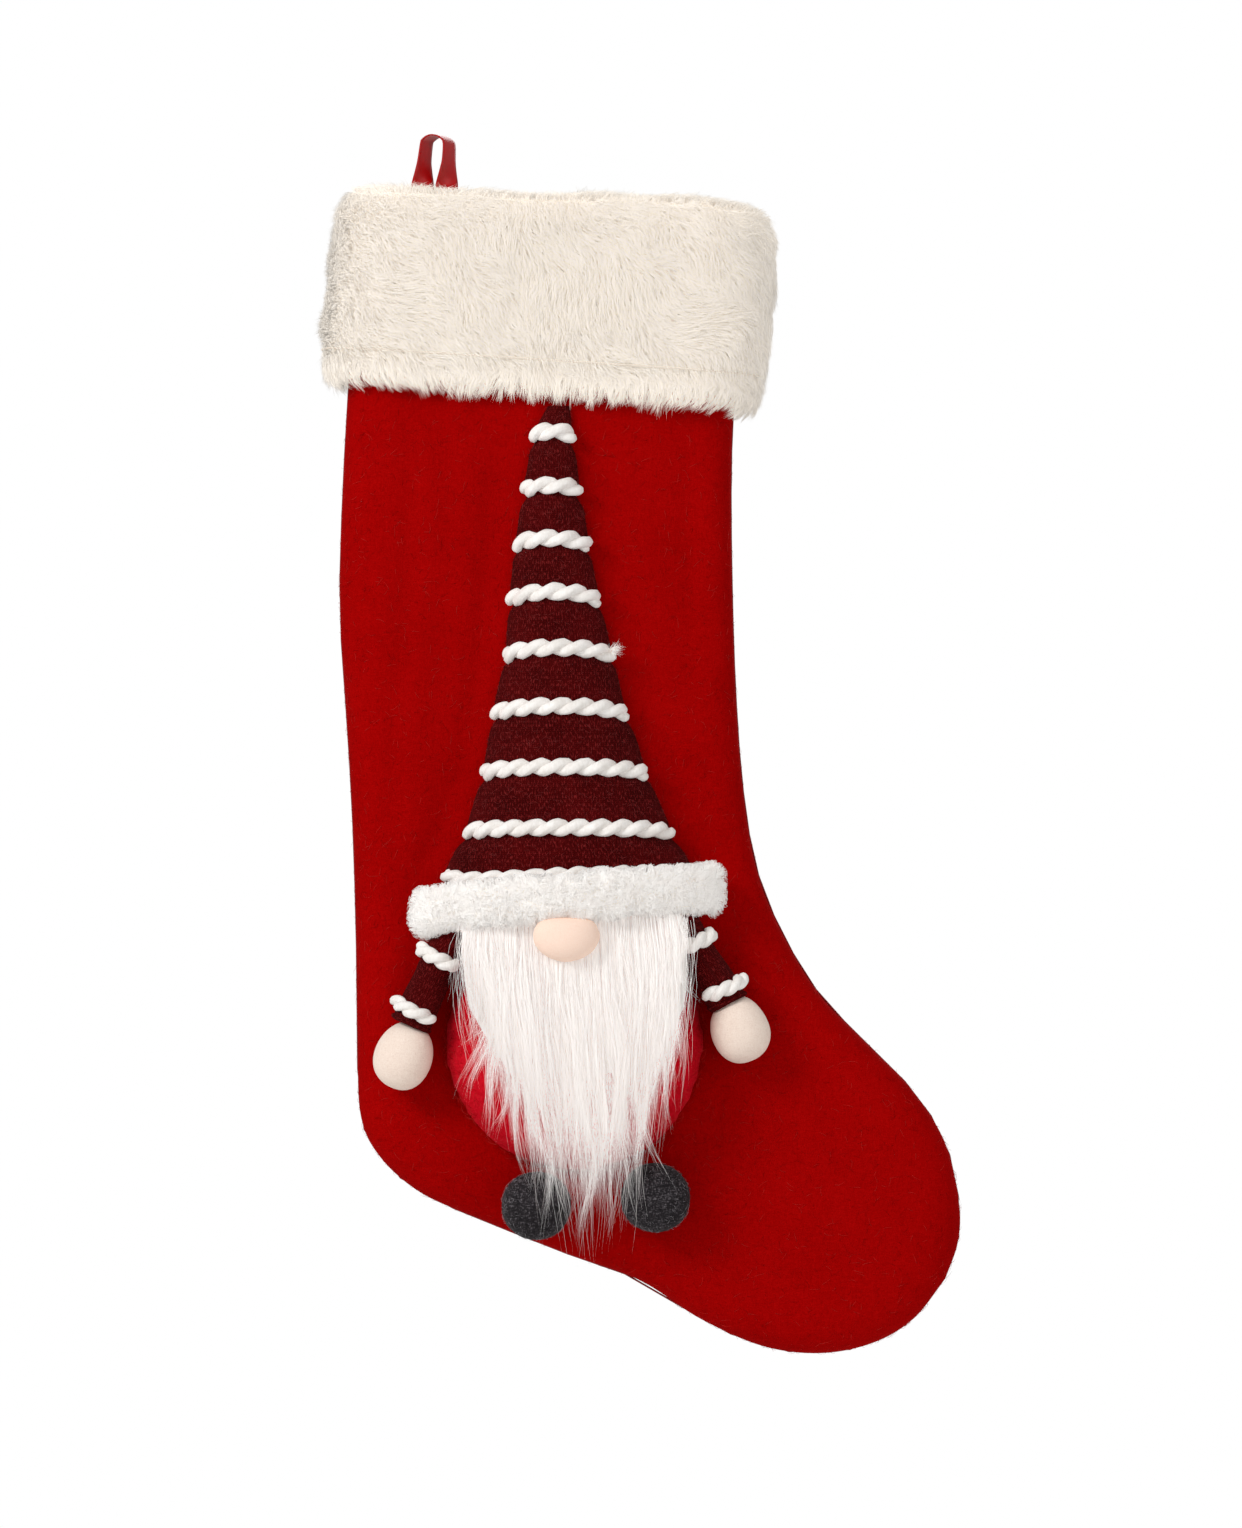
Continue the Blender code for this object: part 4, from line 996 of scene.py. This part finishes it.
brim_base = brim_rings(150, 40, 2.6)
brim = add_piece("brim_ground", ring_mesh("brim_ground", brim_base), [SHERPA_BASE],
                 nodes=["hat_brim"])
rng = np.random.default_rng(29)
spots, normal, across, down, row = scatter(wrapped(brim_base), 26000, rng)
count = len(spots)
spine = brim_base.mean(1)
outward = spots - np.stack([np.interp(row, np.arange(len(spine)), spine[:, k]) for k in range(3)], 1)
normal = np.where((normal * outward).sum(1)[:, None] < 0, -normal, normal)
lock = noise3(spots, 3.4, 111) * 3.0 + noise3(spots, 7, 112) * 3.0
first = unit(across * np.cos(lock)[:, None] + down * np.sin(lock)[:, None] + rng.normal(0, 0.6, (count, 3)))
first = unit(first - normal * (first * normal).sum(1)[:, None])
turned = np.cross(normal, first)
near_end = np.clip(1 - np.minimum(row, len(brim_base) - 1 - row) / 10, 0, 1)
high = rng.uniform(1.5, 3.6, count) * (1 + 0.35 * noise3(spots, 5, 113)) + 2.2 * near_end * rng.random(count)
high = normal * high[:, None]
paths = np.stack([spots - normal * 0.3,
                  spots + first * 0.9 + high * 0.75,
                  spots + first * 1.4 + turned * 0.8 + high,
                  spots + first * 0.9 + turned * 1.6 + high * 0.95], 1)
paths[:, 3] = gather(paths[:, 3], spots, 22, 0.6, rng)
paths[:, 2] = gather(paths[:, 2], spots, 22, 0.3, rng)
add_fibres("brim_pile", paths, rng.uniform(0.10, 0.16, count), SHERPA_PILE, rng, tip=0.4,
           nap=normal, share=0.5)


# ---------------------------------------------------------------- padded pieces

CLOTH = {"quality": 6, "tension_stiffness": 1.0, "compression_stiffness": 1.0, "shear_stiffness": 1 / 3,
         "bending_stiffness": 0.01, "use_pressure": True}
SIM_FRAMES = 20
SMALL_PIECE = {"voxel": 1.6, "cap": 1.2, "pressure": 7000}
BELLY_PIECE = {"voxel": 3.0, "cap": 1.8, "pressure": 250, "held_y": GNOME_Y - 1.2}
NOSE_PIECE = {"voxel": 1.2, "cap": 0.3, "pressure": 7000}


def ball(centre, half, rows, cols, power=1.0, front_only=False):
    """A grid over an ellipsoid, top to bottom and round; power below 1 makes it boxier."""
    polar = np.linspace(0.02, math.pi - 0.02, rows)[:, None]
    turn = (math.pi if front_only else 2 * math.pi) * np.linspace(0, 1, cols, endpoint=front_only)[None]
    wide = signed_power(np.sin(polar), power)
    x = -half[0] * wide * signed_power(np.cos(turn), power)
    y = -half[1] * wide * signed_power(np.sin(turn), power)
    z = half[2] * signed_power(np.cos(polar), power) + 0 * turn
    return np.stack([x, y, z], -1) + centre


def turn_in_view(grid, centre, angle):
    """The grid turned about a line along Y through a centre."""
    c, s = math.cos(angle), math.sin(angle)
    x, z = grid[..., 0] - centre[0], grid[..., 2] - centre[2]
    return np.stack([x * c + z * s + centre[0], grid[..., 1], -x * s + z * c + centre[2]], -1)


def puff(grid, centre, amount, cell, seed):
    """Shallow uneven swelling of a stuffed piece."""
    return grid + unit(grid - np.asarray(centre)) * (amount * noise3(grid, cell, seed))[..., None]


def places_of(mesh):
    flat = np.empty(len(mesh.vertices) * 3, np.float32)
    mesh.vertices.foreach_get("co", flat)
    return flat.reshape(-1, 3) / MM


def evaluated(obj):
    bpy.context.view_layer.update()
    return bpy.data.meshes.new_from_object(obj.evaluated_get(bpy.context.evaluated_depsgraph_get()))


def inflate(mesh, voxel, cap, pressure, held_y=None):
    """The mesh as cloth blown up from inside: remeshed, simulated, its movement capped, subdivided once.

    Points behind held_y, where the piece is sewn down, stay put."""
    obj = bpy.data.objects.new("inflating", mesh)
    scene.collection.objects.link(obj)
    remesh = obj.modifiers.new("remesh", "REMESH")
    remesh.mode = "VOXEL"
    remesh.voxel_size = voxel * MM
    obj.data = evaluated(obj)
    obj.modifiers.clear()
    before = places_of(obj.data)
    cloth = obj.modifiers.new("air", "CLOTH")
    for key, value in CLOTH.items():
        setattr(cloth.settings, key, value)
    cloth.settings.uniform_pressure_force = pressure
    cloth.settings.effector_weights.gravity = 0
    cloth.point_cache.frame_end = SIM_FRAMES
    if held_y is not None:
        held = obj.vertex_groups.new(name="held")
        held.add(np.nonzero(before[:, 1] > held_y - LOOP_Y)[0].tolist(), 1.0, "REPLACE")
        cloth.settings.vertex_group_mass = "held"
    for number in range(1, SIM_FRAMES + 1):
        scene.frame_set(number)
    moved = places_of(evaluated(obj)) - before
    far = np.linalg.norm(moved, axis=1, keepdims=True)
    after = (before + moved * np.minimum(1, cap / np.maximum(far, 1e-6))) * MM
    scene.frame_set(1)
    obj.modifiers.clear()
    obj.data.vertices.foreach_set("co", after.astype(np.float32).ravel())
    obj.modifiers.new("finer", "SUBSURF").levels = 1
    result = evaluated(obj)
    bpy.data.objects.remove(obj)
    result.shade_smooth()
    return result


def add_padded(name, grid, look, body, nodes, air=SMALL_PIECE):
    obj = add_piece(name, inflate(ring_mesh(name, grid), **air), [look], body, nodes)


rng = np.random.default_rng(37)
belly_centre = (BELLY_CENTRE[0], GNOME_Y, BELLY_CENTRE[1])
belly_grid = ball(belly_centre, [half - 1.0 for half in BELLY_HALF], 70, 90, front_only=True)
for amount, cell, seed in ((0.7, 24, 121), (0.25, 8, 122)):
    belly_grid = puff(belly_grid, belly_centre, amount, cell, seed)
belly_grid[..., 1] = np.minimum(belly_grid[..., 1], GNOME_Y)
add_padded("belly", belly_grid, BELLY_FELT, "stocking", ["belly_cover", "belly_stuffing"],
           BELLY_PIECE)
add_fibres("belly_fuzz", flat_fuzz(belly_grid, 3200, 6.0, 1.4, rng), 0.08, RED_FUZZ, rng)

NOSE_TOP_Z = -339.0  # the brim presses down what stands above it
NOSE_HIGH, NOSE_MIDDLE_Z = 10.8, -345.5
nose_middle = (NOSE_CENTRE[0], NOSE_CENTRE[1], NOSE_MIDDLE_Z)
nose_grid = ball(nose_middle, (NOSE_HALF[0] - 0.7, NOSE_HALF[1], NOSE_HIGH), 60, 72)
seam_ridge = 1 + 0.035 * np.exp(-((nose_grid[..., 1] - NOSE_CENTRE[1]) / 0.9) ** 2)
for k in (0, 2):
    nose_grid[..., k] = nose_middle[k] + (nose_grid[..., k] - nose_middle[k]) * seam_ridge
nose_grid[..., 2] -= np.maximum(nose_grid[..., 2] - NOSE_TOP_Z, 0) * 0.75
add_padded("nose_pad", nose_grid, PEACH, "stocking", ["nose"], NOSE_PIECE)

SLEEVE_SHIFT = {"left": 0.6, "right": -5.0}
HAND_SHIFT = {"left": (3.4, 0, 0.6), "right": (-0.8, 0, 2.6)}
ARM_ROPE_TURN = np.radians(np.linspace(-58, 98, 26))
HEM_TURN = np.radians(np.linspace(-180, 170, 36))
for name, side_sign in SIDES.items():
    shoulder = np.array([SHOULDER[name][0], ARM_Y, SHOULDER[name][1]])
    wrist = np.array([WRIST[name][0], ARM_Y, WRIST[name][1]])
    along = unit(wrist - shoulder)
    length = np.linalg.norm(wrist - shoulder)
    outward = np.cross((0, 1.0, 0), along) * -side_sign
    back_up = unit(np.array([-side_sign * 9.0, 2.0, 16.0]))
    inward = np.array([SLEEVE_SHIFT[name], 0, 0.6])

    def hoop(middle, reach, turn):
        """Points round the arm, from its front outward and on to its back."""
        return (middle + outward * (reach * np.sin(turn))[:, None]
                - np.array([0, 1.0, 0]) * (reach * np.cos(turn))[:, None])

    spine = smooth_path([shoulder + inward + back_up * 17, shoulder + inward + back_up * 8, shoulder + inward,
                         shoulder + inward * 0.4 + along * length * 0.5, wrist], 40)
    radius = SLEEVE_R - 0.5 + 0.28 * np.sin(np.linspace(0, 1, len(spine)) * 9)
    grid = puff(tube_rings(spine, radius, 36), spine.mean(0), 0.35, 9, 131)
    mesh = ring_mesh(f"arm_sleeve_{name}", grid)
    add_weave(mesh, grid)
    body = f"arm_{name}"
    sleeve = add_piece(f"arm_sleeve_{name}", mesh, [KNIT],
                       nodes=[f"sleeve_{name}", f"arm_stuffing_{name}", f"sleeve_hem_{name}"],
                       blend=("stocking", body, world(shoulder - along * 2), world(shoulder + along * 5)))
    for label, down, moved, thick in (("upper", -2.4, inward, 3.3), ("wrist", length - 6.3, 0, 3.2)):
        path = hoop(shoulder + along * down + moved, SLEEVE_R + 0.5, ARM_ROPE_TURN)
        path -= along * (0.96 * (1 - np.cos(ARM_ROPE_TURN)))[:, None]
        add_rope(f"arm_rope_{label}_{name}", path, thick, 13.5, body, [f"{label}_cord_{name}"], phase=down)
    hem = hoop(shoulder + along * (length - 1.0), SLEEVE_R - 0.4, HEM_TURN)
    rings = tube_rings(np.vstack([hem, hem[:1]]), 0.95, 10)
    mesh = ring_mesh(f"sleeve_edge_{name}", rings)
    add_weave(mesh, rings)
    add_piece(f"sleeve_edge_{name}", mesh, [KNIT], body)

    hand = shoulder + along * (length + 0.8 + MITTEN_HALF[2]) + HAND_SHIFT[name]
    grid = ball(hand, MITTEN_HALF, 44, 52, 0.84)
    narrow = 0.93 * (1 - 0.16 * fade_in(grid[..., 2], hand[2], MITTEN_HALF[2]))
    grid[..., 0] = hand[0] + (grid[..., 0] - hand[0]) * narrow
    grid = puff(turn_in_view(grid, hand, math.atan2(-along[0], -along[2]) * 0.8), hand, 0.3, 9, 141)
    add_padded(f"mitten_pad_{name}", grid, CREAM_FELT, body, [f"mitten_{name}"])

    centre = (FOOT_CENTRE[name][0], FOOT_Y, FOOT_CENTRE[name][1] + 3.6)
    grid = puff(ball(centre, FOOT_HALF, 44, 56, 0.9), centre, 0.6, 7, 151)
    foot = f"foot_{name}"
    add_padded(f"foot_pad_{name}", grid, CHARCOAL, foot, [foot])
    paths = flat_fuzz(wrapped(grid), 900, 3.2, 1.0, rng)
    add_fibres(f"foot_fuzz_{name}", paths, 0.075, GREY_FUZZ, rng, foot)


# ---------------------------------------------------------------- beard

BEARD_BLEND = ("stocking", "beard", world((62, -45, BEARD_TURN_Z[0])), world((62, -45, BEARD_TURN_Z[1])))
LOCK_TIPS = [  # x, z and fullness of each lock's tip, from the left
    (15, -396, 0.5), (20, -418, 0.8), (27, -437, 1.0), (35, -452, 1.0), (41, -464, 0.8), (49, -479, 0.7),
    (50, -466, 0.8), (61, -465, 1.2), (64, -480, 1.1), (71, -479, 1.2), (77, -470, 1.0), (85, -481, 0.5),
    (83, -452, 1.1), (86, -470, 0.8), (93, -473, 0.7), (97, -455, 0.9), (101, -438, 0.9), (105, -412, 0.6),
]
LOCKS = len(LOCK_TIPS)
HAIR_FRONT_Y, STRAY_FRONT_Y = -51.6, -52.6  # no hair stands farther forward
t = np.linspace(0, 1, 10)


def beard_x(z, share):
    left, right = level(BEARD_EDGES, z, 1), level(BEARD_EDGES, z, 2)
    return left + (right - left) * share


def lock_hairs(share, tip_x, tip_z, root_z, layer, hairs, wide, full):
    """Hairs of one lock: a broad root drawn to a thin wavy tip that more of them reach the fuller it is."""
    one = (hairs, 1)
    length = 0.36 + 0.64 * rng.beta(1.0 + full, 2.6 - full, hairs)
    reach = t[None] * length[:, None]
    z = root_z + rng.uniform(-2.5, 1.5, one) * (1 - reach) + (tip_z - root_z) * reach
    drawn = reach ** 2.2
    path = beard_x(z, share) * (1 - drawn) + tip_x * drawn
    wave = (rng.uniform(1.2, 4.8) * np.sin(reach * rng.uniform(4.0, 10.0) + rng.uniform(0, 6))
            + rng.normal(0, 3.0) * reach ** 4)
    drift = 2.6 * np.sin(-z / 19 + share * 9) + 1.9 * np.sin(-z / 9 + share * 31)
    narrow = wide * (1 - reach) ** 1.05 + 0.25
    offset = np.clip(rng.normal(0, 1, one), -2.2, 2.2)
    own = rng.uniform(0.2, 0.9, one) * np.sin(reach * rng.uniform(3, 12, one) + rng.uniform(0, 6, one))
    x = path + (wave + drift) * reach + offset * narrow + own * reach + rng.normal(0, 1.3, one) * reach ** 3
    y = (level(BEARD_EDGES, z, 3) - layer * np.clip(reach * 4, 0.15, 1) * (1 - 0.5 * reach)
         + rng.normal(0, 1, one) * (0.7 * (1 - reach) + 0.3))
    return np.stack([x, np.maximum(y, HAIR_FRONT_Y), z], -1)


rng = np.random.default_rng(43)
bundles = []
for i, (tip_x, tip_z, full) in enumerate(LOCK_TIPS):
    thin = 0.65 if i in (0, LOCKS - 1) else 1.0
    for k in range(7):
        share = 0.04 + 0.90 * (i + 0.5) / LOCKS + rng.uniform(-0.5, 0.5) / LOCKS
        short = rng.uniform(0, 1) ** 1.2 * 46 if k > 1 else 0
        bundles.append(lock_hairs(share, tip_x + rng.normal(0, 2.4), tip_z + short + rng.normal(0, 3),
                                  rng.uniform(-337, -333), rng.uniform(0, 2.6), 76,
                                  rng.uniform(1.5, 2.6) * thin, full))
for _ in range(34):
    share = rng.uniform(0.04, 0.96)
    near = LOCK_TIPS[min(int(share * LOCKS), LOCKS - 1)]
    bundles.append(lock_hairs(share, near[0] + rng.normal(0, 5), near[1] + rng.uniform(10, 60),
                              rng.uniform(-338, -335), rng.uniform(2.2, 3.8), 40, rng.uniform(0.7, 1.5), 0.6))
hair = np.concatenate(bundles)
count = len(hair)
front_facing = unit(np.stack([(hair[:, 4, 0] - 62) * 0.008, -np.ones(count), np.zeros(count)], 1))
add_fibres("beard_hair", hair, rng.uniform(0.07, 0.13, count), BEARD_HAIR, rng,
           nodes=["beard_fur"], blend=BEARD_BLEND, tip=0.25, odds=[0.40, 0.22, 0.26, 0.12], nap=front_facing,
           share=0.3)

strays = (420, 1)
s = rng.random(strays)
z0 = rng.uniform(-340, -335, strays)
lock_z = np.interp(s, (np.arange(LOCKS) + 0.5) / LOCKS, [tip[1] for tip in LOCK_TIPS])
z = z0 + (lock_z + rng.uniform(-12, 40, strays) - z0) * t
x = (beard_x(z, s) + rng.normal(0, 4.5, strays) * t ** 1.5
     + rng.uniform(0.5, 2.6, strays) * np.sin(t * rng.uniform(3, 8, strays) + rng.uniform(0, 6, strays)))
y = np.maximum(level(BEARD_EDGES, z, 3) - 2.4 - 1.6 * rng.random(strays) * t, STRAY_FRONT_Y)
add_fibres("beard_stray_hair", np.stack([x, y, z], -1), 0.085, BEARD_HAIR, rng, blend=BEARD_BLEND)

rows = np.linspace(-337, -404, 46)[:, None]
cols = np.linspace(0, 1, 40)[None]
pull = 3 + fade_in(-rows, 376, 32) * 12
x = beard_x(rows, 0) + pull + (beard_x(rows, 1) - beard_x(rows, 0) - 2 * pull) * cols
y = level(BEARD_EDGES, rows, 3) + 2.2 + 0.25 * np.sin(cols * 40)
backing_grid = np.stack(np.broadcast_arrays(x, y, rows), -1)
backing = add_piece("beard_ground_cloth", grid_mesh("beard_ground_cloth", backing_grid),
                    [BEARD_BASE], nodes=["beard_backing", "beard_base"], blend=BEARD_BLEND)
solidify(backing, 0.8)


# ---------------------------------------------------------------- CAD pieces that stay

for node, look in (("side_seam_thread", THREAD), ("loop_bar_tack", THREAD), ("cuff_hem_thread", CREAM_THREAD)):
    frame["nodes"][node].data.materials[0] = look

low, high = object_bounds()
